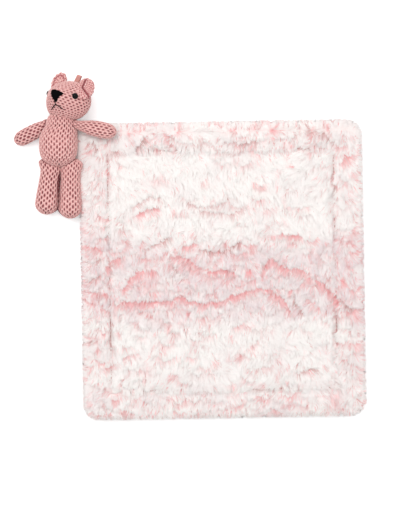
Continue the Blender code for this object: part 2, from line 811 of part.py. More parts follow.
def blanket_x():
    return BLANKET_LEFT + BLANKET_WIDTH / 2.0


def blanket_y():
    return BLANKET_TOP - BLANKET_LENGTH / 2.0


# The whole toy


def left_arm_height():
    """The middle of the left arm, which lies on the blanket's front."""
    return blanket_top() + GAP + LEFT_ARM_HALF_WIDTH * ARM_DEPTH_SHARE


def right_hand_drop():
    """The angle at which the right arm slopes down, so that the hand lies on the floor."""
    hand = RIGHT_ARM_HALF_WIDTH * ARM_DEPTH_SHARE - FLOOR_FLAT
    return math.asin((RIGHT_SHOULDER_HEIGHT - hand) / (RIGHT_ARM_LENGTH * ARM_ROUND_SHARE))


def foot_drop(length):
    """The angle at which a leg slopes down from the hip, so that the foot lies on the floor."""
    foot = LEG_HALF_WIDTH * LEG_DEPTH_SHARE - FLOOR_FLAT
    return math.asin((HIP_HEIGHT - foot) / (length * LEG_ROUND_SHARE))


def tack_place():
    turn = math.radians(LEFT_ARM_DIRECTION_DEG)
    reach = LEFT_ARM_LENGTH * TACK_AT_SHARE
    return Vector((
        LEFT_SHOULDER[0] + reach * math.cos(turn),
        LEFT_SHOULDER[1] + reach * math.sin(turn),
        blanket_top(),
    ))


def build():
    clear_scene()
    collection("lovey_parts")
    collection("lovey_cutters")
    root = empty("lovey")
    floor_mesh = box(
        "floor_cutter",
        (-BLANKET_WIDTH, -BLANKET_LENGTH, -TORSO_DEPTH),
        (BLANKET_WIDTH, BLANKET_LENGTH, FLOOR),
    )
    floor = add_cutter("floor_cutter", floor_mesh, root)

    torso = add_object("torso_cover", torso_mesh("torso_cover", 0.0), root, knit())
    shell(torso)
    inner = -KNIT_WALL - FILLING_EASE
    filling_mesh = torso_mesh("torso_filling", inner, FILLING_SIDES)
    torso_filling = add_object("torso_filling", filling_mesh, root, filling_fibre())
    torso_parts = (torso, torso_filling)

    neck = empty("neck_pivot", root, (NECK_X, NECK_Y, torso_height()))
    pose = empty("head_pose", root, (HEAD_X, HEAD_Y, head_height()), head_turn())
    head, head_filling = head_pieces(pose)
    # The torso's round top sits in this cup, and the head turns on it
    cup = add_cutter("neck_cup", socket("neck_cup", NECK_BALL_RADIUS + GAP), neck)
    cut(head, cup)
    cut(head_filling, cup)

    arm_end = (ARM_ROUND_SHARE, ARM_DEPTH_SHARE)
    right = (ARM_PLACE_SHARES, RIGHT_ARM_SWELL_SHARES, *arm_end)
    left = (ARM_PLACE_SHARES, LEFT_ARM_SWELL_SHARES, *arm_end)
    leg = (LEG_PLACE_SHARES, LEG_SWELL_SHARES, LEG_ROUND_SHARE, LEG_DEPTH_SHARE)
    right_arm = limb(
        "right_arm",
        (*RIGHT_SHOULDER, RIGHT_SHOULDER_HEIGHT),
        RIGHT_ARM_DIRECTION_DEG,
        right_hand_drop(),
        (RIGHT_ARM_LENGTH, RIGHT_ARM_HALF_WIDTH, RIGHT_ARM_BALL, *right),
        torso_parts,
        root,
    )
    left_arm = limb(
        "left_arm",
        (*LEFT_SHOULDER, left_arm_height()),
        LEFT_ARM_DIRECTION_DEG,
        0.0,
        (LEFT_ARM_LENGTH, LEFT_ARM_HALF_WIDTH, LEFT_ARM_BALL, *left),
        torso_parts,
        root,
    )
    right_leg = limb(
        "right_leg",
        (*RIGHT_HIP, HIP_HEIGHT),
        RIGHT_LEG_DIRECTION_DEG,
        foot_drop(RIGHT_LEG_LENGTH),
        (RIGHT_LEG_LENGTH, LEG_HALF_WIDTH, LEG_BALL, *leg),
        torso_parts,
        root,
    )
    left_leg = limb(
        "left_leg",
        (*LEFT_HIP, HIP_HEIGHT),
        LEFT_LEG_DIRECTION_DEG,
        foot_drop(LEFT_LEG_LENGTH),
        (LEFT_LEG_LENGTH, LEG_HALF_WIDTH, LEG_BALL, *leg),
        torso_parts,
        root,
    )

    front, thread = blanket_pieces(root)
    tack_low = blanket_top() - TACK_DEPTH
    tack_high = blanket_top() + TACK_DEPTH
    tack_at = empty("tack_pivot", root, (*tack_place().xy, FLOOR))
    tack_mesh = cylinder("corner_tack", TACK_RADIUS, tack_low, tack_high)
    add_object("corner_tack", tack_mesh, tack_at, thread)
    tack_room_mesh = cylinder("tack_room", TACK_RADIUS + GAP, tack_low - GAP, tack_high + GAP)
    tack_room = add_cutter("tack_room", tack_room_mesh, tack_at)
    for body in (front, left_arm[0], left_arm[1]):
        cut(body, tack_room)

    on_floor = [torso, head, right_arm[0], right_leg[0], left_leg[0]]
    for body in on_floor:
        cut(body, floor)
    centre_on_origin(root)
    report_joints({
        "head_turn": neck,
        "right_arm_swing": right_arm[2],
        "left_arm_swing": left_arm[2],
        "right_leg_lift": right_leg[2],
        "left_leg_lift": left_leg[2],
        "blanket_swing": tack_at,
    })


def centre_on_origin(root):
    """Moves the whole toy so that the middle of its box is over the origin."""
    bpy.context.view_layer.update()
    graph = bpy.context.evaluated_depsgraph_get()
    corners = []
    for obj in bpy.data.collections["lovey_parts"].objects:
        if obj.type == "MESH":
            evaluated = obj.evaluated_get(graph)
            corners += [evaluated.matrix_world @ Vector(corner) for corner in evaluated.bound_box]
    for axis in (0, 1):
        low = min(corner[axis] for corner in corners)
        high = max(corner[axis] for corner in corners)
        root.location[axis] = -(low + high) / 2.0
    bpy.context.view_layer.update()


def report_joints(pivots):
    for name, pivot in pivots.items():
        print(name, "at", tuple(round(value, 5) for value in pivot.matrix_world.translation))


build()
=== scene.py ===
"""Comfort blanket lovey as photographed: a knitted bear on its back that holds the corner of a fur blanket.

Metres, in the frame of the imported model. Stitch holes are pressed into every knitted surface, and the pile
is made of single locks that follow the sweeps, ridges and partings of the fur.
"""

import math

import bpy
import numpy as np
from mathutils import Euler, Matrix, Vector


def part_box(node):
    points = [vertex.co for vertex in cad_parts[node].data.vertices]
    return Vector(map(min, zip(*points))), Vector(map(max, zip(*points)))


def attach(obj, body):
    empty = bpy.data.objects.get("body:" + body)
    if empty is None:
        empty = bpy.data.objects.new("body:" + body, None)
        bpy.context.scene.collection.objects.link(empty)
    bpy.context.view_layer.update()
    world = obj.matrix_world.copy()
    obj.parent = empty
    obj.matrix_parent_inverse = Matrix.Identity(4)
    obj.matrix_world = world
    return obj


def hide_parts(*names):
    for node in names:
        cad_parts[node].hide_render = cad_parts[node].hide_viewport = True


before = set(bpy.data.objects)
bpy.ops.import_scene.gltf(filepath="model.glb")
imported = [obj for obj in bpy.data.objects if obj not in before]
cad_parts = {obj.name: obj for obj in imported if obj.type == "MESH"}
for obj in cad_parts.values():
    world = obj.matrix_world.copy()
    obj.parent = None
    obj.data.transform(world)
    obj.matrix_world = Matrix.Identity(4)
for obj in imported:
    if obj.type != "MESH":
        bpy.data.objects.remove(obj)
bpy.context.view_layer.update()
rng = np.random.default_rng(11)
MM = 0.001

# The bear's forms, from the middle of its torso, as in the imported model
FLOOR_FLAT, FLOOR_GAP = 0.0005, 0.0002
TORSO_WIDTH, TORSO_DEPTH, TORSO_SEAT = 0.050, 0.046, 0.031
TORSO_PLACES = (0.0, 0.12, 0.27, 0.45, 0.64, 0.80, 0.90, 0.965, 1.0)
TORSO_SWELLS = (0.80, 0.91, 0.98, 1.0, 0.97, 0.84, 0.64, 0.38, 0.0)
NECK_RADIUS, NECK_X, NECK_Y = 0.0200, 0.0036, 0.0235
HEAD_HALF_WIDTH, HEAD_HALF_DEPTH, HEAD_CROWN, HEAD_CHIN = 0.0298, 0.026, 0.0247, 0.0272
CHIN_POWER, CHIN_LEAN, CROWN_LEAN = 0.84, 0.0048, 0.0030
HEAD_X, HEAD_Y = 0.0142, 0.0565
HEAD_ROLL, HEAD_PITCH, HEAD_YAW = math.radians(-16.0), math.radians(8.0), math.radians(-29.5)
SNOUT_REACH, SNOUT_HALF_WIDTH, SNOUT_HALF_HEIGHT, SNOUT_DROP = 0.0121, 0.0155, 0.0115, 0.0032
EYE_RADIUS, EYE_Y = 0.0041, 0.0022
NOSE_X, NOSE_HALF_WIDTH, NOSE_TOP, NOSE_HEIGHT, NOSE_THICKNESS = 0.0002, 0.0092, 0.0027, 0.0135, 0.0019
NOSE_ROLL, MOUTH_ROLL = math.radians(-7.0), math.radians(8.0)
MOUTH_RADIUS, MOUTH_DROP, MOUTH_HALF_WIDTH, MOUTH_HEIGHT = 0.00055, 0.0035, 0.0086, 0.00468
ARM_PLACES = (0.0, 0.12, 0.25, 0.42, 0.60, 0.76, 1.0)
RIGHT_ARM_SWELLS = (0.74, 0.84, 0.94, 1.0, 1.0, 0.98, 0.96)
LEFT_ARM_SWELLS = (0.50, 0.56, 0.72, 0.92, 1.0, 0.98, 0.98)
ARM_ROUND_FROM, ARM_DEPTH_SHARE = 0.74, 0.92
RIGHT_ARM_LENGTH, RIGHT_ARM_HALF_WIDTH, RIGHT_ARM_ROOT = 0.0475, 0.0101, 0.0078
LEFT_ARM_LENGTH, LEFT_ARM_HALF_WIDTH, LEFT_ARM_ROOT = 0.0565, 0.0104, 0.0058
RIGHT_SHOULDER, LEFT_SHOULDER, GAP = (-0.0160, 0.0240, 0.0145), (0.0205, 0.0250), 0.0003
LEG_PLACES = (0.0, 0.20, 0.40, 0.60, 0.80, 1.0)
LEG_SWELLS = (0.80, 0.84, 0.90, 0.96, 1.0, 1.0)
LEG_HALF_WIDTH, LEG_ROOT, LEG_ROUND_FROM, HIP_Y, HIP_HEIGHT = 0.0150, 0.0116, 0.78, -0.0318, 0.0190

# The knit: columns of long holes, each column half a stitch off the next
COLUMN, STITCH = 0.0082, 0.0036
HOLE_ACROSS, HOLE_ALONG, HOLE_DEPTH = 0.00090, 0.00195, 0.0016
CORD_RISE, LUMP_RISE = 0.00045, 0.0001
STITCH_SHIFT, STITCH_LEAN = 0.00024, 0.10

# The blanket: its two panels, and the groove that the topstitching draws in them
BLANKET_WIDTH, BLANKET_LENGTH, BLANKET_CORNER = 0.364, 0.382, 0.017
BLANKET_TURN = math.radians(1.0)
BLANKET_LEFT, BLANKET_TOP = 0.0325, 0.0262
PANEL = 0.0098
EDGE_ROUND = 0.0085
CHANNEL_INSET, CHANNEL_DEPTH, CHANNEL_HALF_WIDTH = 0.034, 0.0045, 0.008
PILE = 0.0024
SOFTNESS = 0.72
LOCKS_PER_PIECE, CLUMP, FRINGE, ROOT_LIFT = 30000, 0.0058, 0.0035, 0.0002
# A lock has points at these shares of its length, and is this wide there
LOCK_STEPS, LOCK_TAPER = np.array([0.0, 0.36, 0.70, 1.0]), np.array([0.75, 1.0, 0.72, 0.14])

# Colours, linear
WHITE = (1.0, 1.0, 1.0, 1.0)
# The light yarn colour is a painted highlight on the cords' crests; the hole colours are partly painted
# shade.
YARN = (0.660, 0.315, 0.300)
YARN_PAINTED_HIGHLIGHT = (0.930, 0.625, 0.585)
YARN_HOLE_AND_SHADE = (0.200, 0.038, 0.045)
EAR_YARN, EAR_HOLE_AND_SHADE = (0.700, 0.350, 0.335), (0.42, 0.12, 0.13)
FUR_WHITE = (0.975, 0.955, 0.930)
FUR_LILAC = (0.845, 0.735, 0.745)
FUR_SALMON = (0.920, 0.350, 0.360)
# The brown is also the painted shade in partings, creases and the groove
FUR_BROWN_AND_SHADE = (0.400, 0.190, 0.160)
FUR_ROOT = (0.945, 0.850, 0.830)
FUR_SHADE = (0.88, 0.78, 0.76)
SATIN, SATIN_LIGHT = (0.500, 0.190, 0.165), (0.62, 0.27, 0.23)
THREAD, THREAD_DARK = (0.640, 0.350, 0.340), (0.50, 0.22, 0.21)

# Light: the strength of the sky, and the floor's own glow where the camera sees it
SKY_LEVEL, FLOOR_GLOW = 0.82, 0.32
# A long lens straight above the toy
CAMERA_PLACE, CAMERA_LENS, CAMERA_SENSOR = (0.0163, -0.0140, 3.740), 200.0, 36.0

# Where the pile parts, in millimetres from the blanket's middle. Along a ridge the fur above it hangs over
# and the rose roots below it show, and its lip gets painted shade; a crease is a parting with painted shade.
# Each is a strength and the points of its line.
RIDGES = (
    (1, (-130, -39), (-92, -39), (-67, -37), (-56, -30), (-46, -38), (-24, -42), (-4, -39), (27, -28),
     (49, -23), (62, -25), (70, -33), (81, -38), (87, -52)),
    (0.8, (-132, -23), (-123, -9), (-109, 1), (-89, 1)),
    (0.8, (-64, 21), (-44, 16), (-28, 4)),
    (0.9, (-17, -1), (0, 3), (15, -2)),
    (1, (50, -3), (61, 17), (67, 14), (80, 1), (99, 1), (109, -3)),
    (0.9, (123, -15), (134, -20), (144, -33), (153, -45)),
    (0.7, (77, 47), (101, 44)),
    (0.7, (-47, 34), (-32, 35)),
    (0.7, (-152, 5), (-148, 14), (-137, 18)),
    (0.6, (-185, 32), (-171, 35), (-157, 29)),
    (0.6, (-184, -28), (-172, -24), (-159, -28)),
    (0.7, (-111, 76), (-97, 83), (-84, 84)),
    (0.5, (-112, 188), (-98, 190), (-84, 191)),
    (0.5, (44, 187), (62, 191)),
    (0.6, (138, 188), (147, 176)),
    (0.6, (158, 140), (167, 147)),
)
CREASES = (
    (0.9, (-101, 29), (-81, 39), (-68, 46)),
    (1, (-28, 28), (1, 24), (12, 31), (24, 38)),
    (0.9, (-67, 11), (-58, 0)),
    (0.9, (94, -33), (96, -43), (107, -59)),
    (0.8, (153, -40), (169, -54), (183, -56)),
    (0.6, (-186, 10), (-158, 18)),
    (0.6, (-179, -16), (-157, 0)),
    (0.5, (-43, 89), (-32, 84), (-6, 86), (9, 93)),
    (0.5, (-26, 79), (14, 74), (29, 81)),
    (0.4, (-116, 85), (-93, 100), (-81, 97)),
    (0.8, (95, -135), (117, -130)),
    (0.6, (-184, -95), (-167, -90)),
    (0.6, (8, 169), (16, 165), (22, 168), (28, 164), (36, 167), (49, 169)),
    (0.6, (114, 187), (119, 177), (125, 180), (134, 177), (142, 171), (148, 166)),
    (0.8, (-110, 162), (-104, 168), (-99, 174)),
    (0.35, (-93, 166), (-84, 160), (-68, 163), (-63, 167)),
    (0.6, (-68, 178), (-61, 172)),
    (0.35, (-53, 170), (-40, 167), (-28, 165), (-19, 169), (-8, 163)),
    (0.35, (73, 171), (84, 172), (92, 169), (101, 178), (108, 190)),
    (0.8, (-172, 172), (-164, 168), (-160, 160)),
)
# Rose spots: x, y, half width, half height, share
SPOTS = (
    (-120, 179, 2, 2, 0.5), (-116, 171, 2, 2, 0.5), (-97, 170, 2.6, 1.3, 0.8), (-14, 189, 2, 2, 0.7),
    (-6, 154, 2.6, 2, 0.5), (21, 146, 5.9, 2.6, 0.35), (70, 174, 2, 3.3, 0.9), (85, 165, 2, 2.6, 0.6),
    (88, 150, 3.3, 3.3, 0.9), (92, 139, 2, 2.6, 0.6), (74, 128, 2.6, 2.6, 0.5), (48, 110, 4.6, 2.6, 0.8),
    (-83, 122, 9.2, 4.6, 0.5), (-21, 117, 5.2, 3.3, 0.35), (81, 93, 2.6, 3.9, 0.5), (57, 79, 5.9, 2, 0.5),
    (36, 86, 5.9, 2, 0.5), (-52, 80, 5.2, 2, 0.6), (77, 65, 2.6, 3.3, 0.6), (68, 43, 2.6, 2.6, 0.9),
    (-11, 51, 5.9, 2.6, 0.3), (-150, 79, 3.3, 2.6, 0.5), (-104, 65, 3.3, 2.6, 0.5),
    (-121, 72, 3.3, 2.6, 0.5), (-177, 54, 2.6, 3.9, 0.5), (-80, -102, 2.6, 2.6, 0.8),
    (-164, -81, 3.3, 2.6, 0.4), (-70, -70, 3.9, 2.6, 0.5), (-56, -65, 3.3, 2.6, 0.5),
    (-66, -85, 3.3, 2.6, 0.4), (-88, -94, 2.6, 2, 0.6), (-101, -126, 5.9, 5.9, 0.45),
    (-104, -139, 2.6, 2, 0.7), (-125, -132, 3.3, 2, 0.5), (-22, -128, 3.9, 2.6, 0.5),
    (36, -72, 3.3, 2.6, 0.5), (50, -76, 3.3, 2.6, 0.5), (137, -103, 2, 2, 0.7), (133, -115, 2, 3.3, 0.5),
    (22, -113, 2, 3.3, 0.9), (25, -102, 2.6, 2.6, 0.6), (71, -131, 2, 8.5, 0.7), (52, -152, 5.9, 2.6, 0.7),
    (99, -157, 2.6, 5.9, 0.8), (176, -106, 3.3, 3.9, 0.6), (11, -149, 5.9, 2.6, 0.5),
    (13, -177, 4.6, 3.9, 0.9), (86, -176, 5.2, 2.6, 0.7), (143, -168, 7.9, 8.5, 0.55),
    (173, -144, 2.6, 2.6, 0.5), (-46, 11, 5.9, 3.9, 0.5), (-99, -15, 11.1, 6.6, 0.5),
    (-180, 113, 2.6, 14.4, 0.45), (-15, 22, 2, 2.6, 0.9), (-4, 24, 2, 2.6, 0.9), (5, 34, 2, 2.6, 0.9),
)

torso_low, torso_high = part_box("torso_cover")
TORSO = Vector(((torso_low[0] + torso_high[0]) / 2.0, torso_high[1] - NECK_RADIUS - NECK_Y, 0.0))


# Shapes and meshes


def xyz(x, y, z):
    return np.stack(np.broadcast_arrays(x, y, z), axis=-1)


def circle(sides):
    turns = 2.0 * math.pi * np.arange(sides) / sides
    return np.cos(turns), np.sin(turns)


def bell(value, width):
    """1 where the value is 0, and falling away on both sides over about the width."""
    return np.exp(-((value / width) ** 2))


def smoothstep(low, high, value):
    step = np.clip((value - low) / (high - low), 0.0, 1.0)
    return step * step * (3.0 - 2.0 * step)


def unit(vectors):
    return vectors / np.maximum(np.linalg.norm(vectors, axis=-1, keepdims=True), 1e-12)


def turned(x, y, angle):
    cos, sin = np.cos(angle), np.sin(angle)
    return x * cos - y * sin, x * sin + y * cos


def way_along(line):
    """How far each of a line's points lies from its first, along the line."""
    return np.concatenate([[0.0], np.cumsum(np.linalg.norm(np.diff(line, axis=0), axis=1))])


def matrix_of(location, rotation):
    return Matrix.Translation(TORSO + Vector(location)) @ rotation.to_matrix().to_4x4()


def moved(points, matrix):
    turn, shift = np.array(matrix.to_3x3()), np.array(matrix.translation)
    return points @ turn.T + shift


def on_floor(points):
    """Keeps points off the surface that the toy lies on."""
    points[..., 2] = np.maximum(points[..., 2], FLOOR_GAP)
    return points


def curve_through(places, values, at):
    """Values along a smooth curve through a table's points."""
    places, values, at = np.asarray(places), np.asarray(values), np.asarray(at)
    slopes = np.empty(len(places))
    slopes[1:-1] = (values[2:] - values[:-2]) / (places[2:] - places[:-2])
    slopes[0] = (values[1] - values[0]) / (places[1] - places[0])
    slopes[-1] = (values[-1] - values[-2]) / (places[-1] - places[-2])
    low = np.clip(np.searchsorted(places, at, side="left") - 1, 0, len(places) - 2)
    span = places[low + 1] - places[low]
    step = np.clip((at - places[low]) / span, 0.0, 1.0)
    rise = step * step * (3.0 - 2.0 * step)
    bend = step * (1.0 - step) * span
    value = values[low] + (values[low + 1] - values[low]) * rise
    return value + bend * ((1.0 - step) * slopes[low] - step * slopes[low + 1])


def wavy(seed, scale, waves=14):
    """A smooth random field over the plane, about -1 to 1, whose swells are about scale long."""
    random = np.random.default_rng(seed)
    turn = random.uniform(0.0, 2.0 * math.pi, waves)
    rate = 2.0 * math.pi / scale * random.uniform(0.55, 1.35, waves)
    phase = random.uniform(0.0, 2.0 * math.pi, waves)

    def value(x, y):
        total = np.zeros(np.shape(x))
        for angle, speed, start in zip(turn, rate, phase):
            total += np.cos(speed * (x * math.cos(angle) + y * math.sin(angle)) + start)
        return total / math.sqrt(waves)

    return value


def to_line(x, y, line):
    """Distance to a line of points, the side (above 0 on its right) and the way square across it."""
    best = np.full(x.shape, 1.0)
    signed, nx, ny = np.zeros(x.shape), np.zeros(x.shape), np.zeros(x.shape)
    for (ax, ay), (bx, by) in zip(line, line[1:]):
        dx, dy = bx - ax, by - ay
        length = math.hypot(dx, dy)
        dx, dy = dx / length, dy / length
        along = np.clip((x - ax) * dx + (y - ay) * dy, 0.0, length)
        px, py = x - ax - along * dx, y - ay - along * dy
        distance = np.hypot(px, py)
        closer = distance < best
        best = np.where(closer, distance, best)
        signed = np.where(closer, np.where(px * dy - py * dx >= 0.0, distance, -distance), signed)
        nx, ny = np.where(closer, dy, nx), np.where(closer, -dx, ny)
    return best, signed, nx, ny


def make_mesh(name, points, quads, triangles=(), smooth=True, normals=None, **attributes):
    """An object from arrays of points and faces, with its named values and normals at each point."""
    quads = np.asarray(quads, np.int32).reshape(-1, 4)
    triangles = np.asarray(triangles, np.int32).reshape(-1, 3)
    mesh = bpy.data.meshes.new(name)
    mesh.vertices.add(len(points))
    mesh.vertices.foreach_set("co", np.asarray(points, np.float32).ravel())
    corners = np.concatenate([quads.ravel(), triangles.ravel()])
    starts = np.concatenate([np.arange(len(quads)) * 4, 4 * len(quads) + np.arange(len(triangles)) * 3])
    mesh.loops.add(len(corners))
    mesh.loops.foreach_set("vertex_index", corners.astype(np.int32))
    mesh.polygons.add(len(starts))
    mesh.polygons.foreach_set("loop_start", starts.astype(np.int32))
    mesh.update(calc_edges=True)
    for key, values in attributes.items():
        values = np.asarray(values, np.float32)
        kind, field = ("FLOAT_VECTOR", "vector") if values.ndim == 2 else ("FLOAT", "value")
        mesh.attributes.new(key, kind, "POINT").data.foreach_set(field, values.ravel())
    if smooth:
        mesh.shade_smooth()
    if normals is not None:
        mesh.normals_split_custom_set_from_vertices(normals)
    obj = bpy.data.objects.new(name, mesh)
    bpy.context.scene.collection.objects.link(obj)
    return obj


def grid_faces(count_x, count_y, flip):
    """Quads of rows of points, facing the other way when flipped."""
    row, column = np.meshgrid(np.arange(count_y - 1), np.arange(count_x - 1), indexing="ij")
    low = row * count_x + column
    quads = np.stack([low, low + 1, low + count_x + 1, low + count_x], axis=-1).reshape(-1, 4)
    return quads[:, ::-1] if flip else quads


def tube_faces(rows, sides):
    """Quads of rings of points that close round."""
    row, side = np.meshgrid(np.arange(rows - 1), np.arange(sides), indexing="ij")
    after = (side + 1) % sides
    low, high = row * sides, (row + 1) * sides
    return np.stack([low + side, low + after, high + after, high + side], axis=-1).reshape(-1, 4)


def end_fans(rows, sides):
    """Triangles that close a tube of rings, where its first end's middle point comes after all rings."""
    side, count = np.arange(sides), rows * sides
    after, last = (side + 1) % sides, count - sides
    first = np.stack([after, side, np.full(sides, count)], axis=-1)
    return np.concatenate([first, np.stack([last + side, last + after, np.full(sides, count + 1)], axis=-1)])


def closed_tube(name, rings, **attributes):
    """Rings of points with a fan at each end. The attributes are given for the rings."""
    rows, sides = rings.shape[:2]

    def with_ends(values):
        flat = values.reshape(rows * sides, *values.shape[2:])
        return np.concatenate([flat, [values[0].mean(axis=0)], [values[-1].mean(axis=0)]])

    attributes = {key: with_ends(values) for key, values in attributes.items()}
    return make_mesh(name, with_ends(rings), tube_faces(rows, sides), end_fans(rows, sides), **attributes)


def dress(obj, material, body, nodes):
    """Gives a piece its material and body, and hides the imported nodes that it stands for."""
    obj.data.materials.append(material)
    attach(obj, body)
    if nodes:
        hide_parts(*nodes)
    return obj


# Materials


def add(tree, kind, inputs=None, **settings):
    """A new shader node's outputs. Each of its inputs is given as a value or as a socket to link."""
    made = tree.nodes.new("ShaderNode" + kind)
    for key, value in settings.items():
        setattr(made, key, value)
    for key, value in (inputs or {}).items():
        if isinstance(value, bpy.types.NodeSocket):
            tree.links.new(value, made.inputs[key])
        else:
            made.inputs[key].default_value = value
    return made.outputs


def new_material(name, roughness, sheen=0.0):
    made = bpy.data.materials.new(name)
    made.use_nodes = True
    shader = made.node_tree.nodes["Principled BSDF"]
    shader.inputs["Roughness"].default_value = roughness
    shader.inputs["Sheen Weight"].default_value = sheen
    shader.inputs["Sheen Roughness"].default_value = 0.5
    return made, made.node_tree, shader


def mixed(tree, factor, first, second):
    """A colour mix. Each of the three is a socket or a value."""
    first, second = [(*value, 1.0) if isinstance(value, tuple) else value for value in (first, second)]
    return add(tree, "Mix", {0: factor, 6: first, 7: second}, data_type="RGBA")[2]


def noise(tree, scale, detail=3.0, rough=0.6, stretch=None):
    place = add(tree, "TexCoord")["Object"]
    if stretch:
        place = add(tree, "Mapping", {"Vector": place, "Scale": stretch})["Vector"]
    grain = {"Scale": scale, "Detail": detail, "Roughness": rough}
    return add(tree, "TexNoise", {"Vector": place, **grain})["Fac"]


def levels(tree, socket, low, high, to_low=0.0, to_high=1.0):
    ends = {"From Min": low, "From Max": high, "To Min": to_low, "To Max": to_high}
    return add(tree, "MapRange", {"Value": socket, **ends})["Result"]


def bump(tree, shader, socket, strength, distance):
    made = add(tree, "Bump", {"Height": socket, "Strength": strength, "Distance": distance})
    tree.links.new(made["Normal"], shader.inputs["Normal"])


def named(tree, name):
    return add(tree, "Attribute", attribute_name=name)


def knit_material(name, yarn, light, hole):
    made, tree, shader = new_material(name, 0.92, 0.25)
    fibre = noise(tree, 1400.0, 2.0, 0.65)
    patch = noise(tree, 90.0, 3.0, 0.55)
    # The cords' crests take a painted highlight
    cord = mixed(tree, levels(tree, named(tree, "cord")["Fac"], 0.05, 0.90), yarn, light)
    cord = mixed(tree, levels(tree, fibre, 0.40, 0.75, 0.0, 0.45), cord, yarn)
    cord = mixed(tree, levels(tree, patch, 0.40, 0.75, 0.0, 0.35), cord, yarn)
    # Holes take a colour that is partly painted shade in them, and the painted shade of steep sides, joins
    # and gaps comes in through the same share
    colour = mixed(tree, levels(tree, named(tree, "hole")["Fac"], 0.15, 0.70), cord, hole)
    tree.links.new(colour, shader.inputs["Base Color"])
    bump(tree, shader, fibre, 0.5, 0.0004)
    return made


def fur_material(name):
    """The colours follow what each lock carries: how rose, how dark, how far to its tip, and its own tone."""
    made, tree, shader = new_material(name, 0.85, 0.15)
    rose, dark, lilac = add(tree, "SeparateXYZ", {"Vector": named(tree, "pile")["Vector"]})
    along, tone, _ = add(tree, "SeparateXYZ", {"Vector": named(tree, "lock")["Vector"]})
    patch = noise(tree, 70.0, 4.0, 0.6)
    fine = noise(tree, 900.0, 2.0, 0.6)
    colour = mixed(tree, lilac, FUR_WHITE, FUR_LILAC)
    colour = mixed(tree, levels(tree, patch, 0.50, 0.85, 0.0, 0.25), colour, FUR_LILAC)
    root = mixed(tree, levels(tree, along, 0.0, 0.75, 1.0, 0.0), colour, FUR_ROOT)
    colour = mixed(tree, rose, root, FUR_SALMON)
    # The dark share is partly painted shade in partings, creases and the groove, and partly darker strands
    colour = mixed(tree, dark, colour, FUR_BROWN_AND_SHADE)
    shade = mixed(tree, levels(tree, tone, 0.0, 1.0, 0.12, 0.0), colour, FUR_SHADE)
    shade = mixed(tree, levels(tree, fine, 0.4, 0.9, 0.0, 0.10), shade, FUR_ROOT)
    tree.links.new(shade, shader.inputs["Base Color"])
    bump(tree, shader, fine, 0.2, 0.0003)
    return made


def plain_material(name, colour, second, scale, roughness, height, sheen=0.0, specular=0.5, stretch=None):
    """Two colours in a fine grain, which also makes the surface rough."""
    made, tree, shader = new_material(name, roughness, sheen)
    grain = noise(tree, scale, 3.0, 0.6, stretch)
    tree.links.new(mixed(tree, levels(tree, grain, 0.3, 0.7), colour, second), shader.inputs["Base Color"])
    shader.inputs["Specular IOR Level"].default_value = specular
    bump(tree, shader, grain, 0.4, height)
    return made


knit_pink = knit_material("knit_pink", YARN, YARN_PAINTED_HIGHLIGHT, YARN_HOLE_AND_SHADE)
knit_ear = knit_material("knit_ear", EAR_YARN, YARN_PAINTED_HIGHLIGHT, EAR_HOLE_AND_SHADE)
fur = fur_material("fur")
bead_black = plain_material("bead_black", (0.002, 0.002, 0.002), (0.004, 0.004, 0.005), 300.0,
                            roughness=0.06, height=0.00001, specular=0.10)
felt_black = plain_material("felt_black", (0.002, 0.002, 0.002), (0.006, 0.005, 0.006), 1100.0,
                            roughness=1.0, height=0.0002, specular=0.0)
thread_black = plain_material("thread_black", (0.004, 0.003, 0.003), (0.014, 0.011, 0.012), 2500.0,
                              roughness=0.9, height=0.0003, specular=0.0)
thread_pink = plain_material("thread_pink", THREAD, THREAD_DARK, 2500.0, roughness=0.75, height=0.0003)
satin = plain_material("satin", SATIN, SATIN_LIGHT, 260.0,
                       roughness=0.42, height=0.00012, sheen=0.2, stretch=(1.0, 7.0, 1.0))


# Knitted surfaces


def outward(points):
    """Unit normals of rings of points, away from the middle of each ring."""
    across = np.roll(points, -1, axis=1) - np.roll(points, 1, axis=1)
    normals = unit(np.cross(across, np.gradient(points, axis=0)))
    middle = points.mean(axis=1, keepdims=True)
    sign = np.sign(np.sum(np.einsum("rcx,rcx->rc", normals, points - middle)))
    return normals * sign


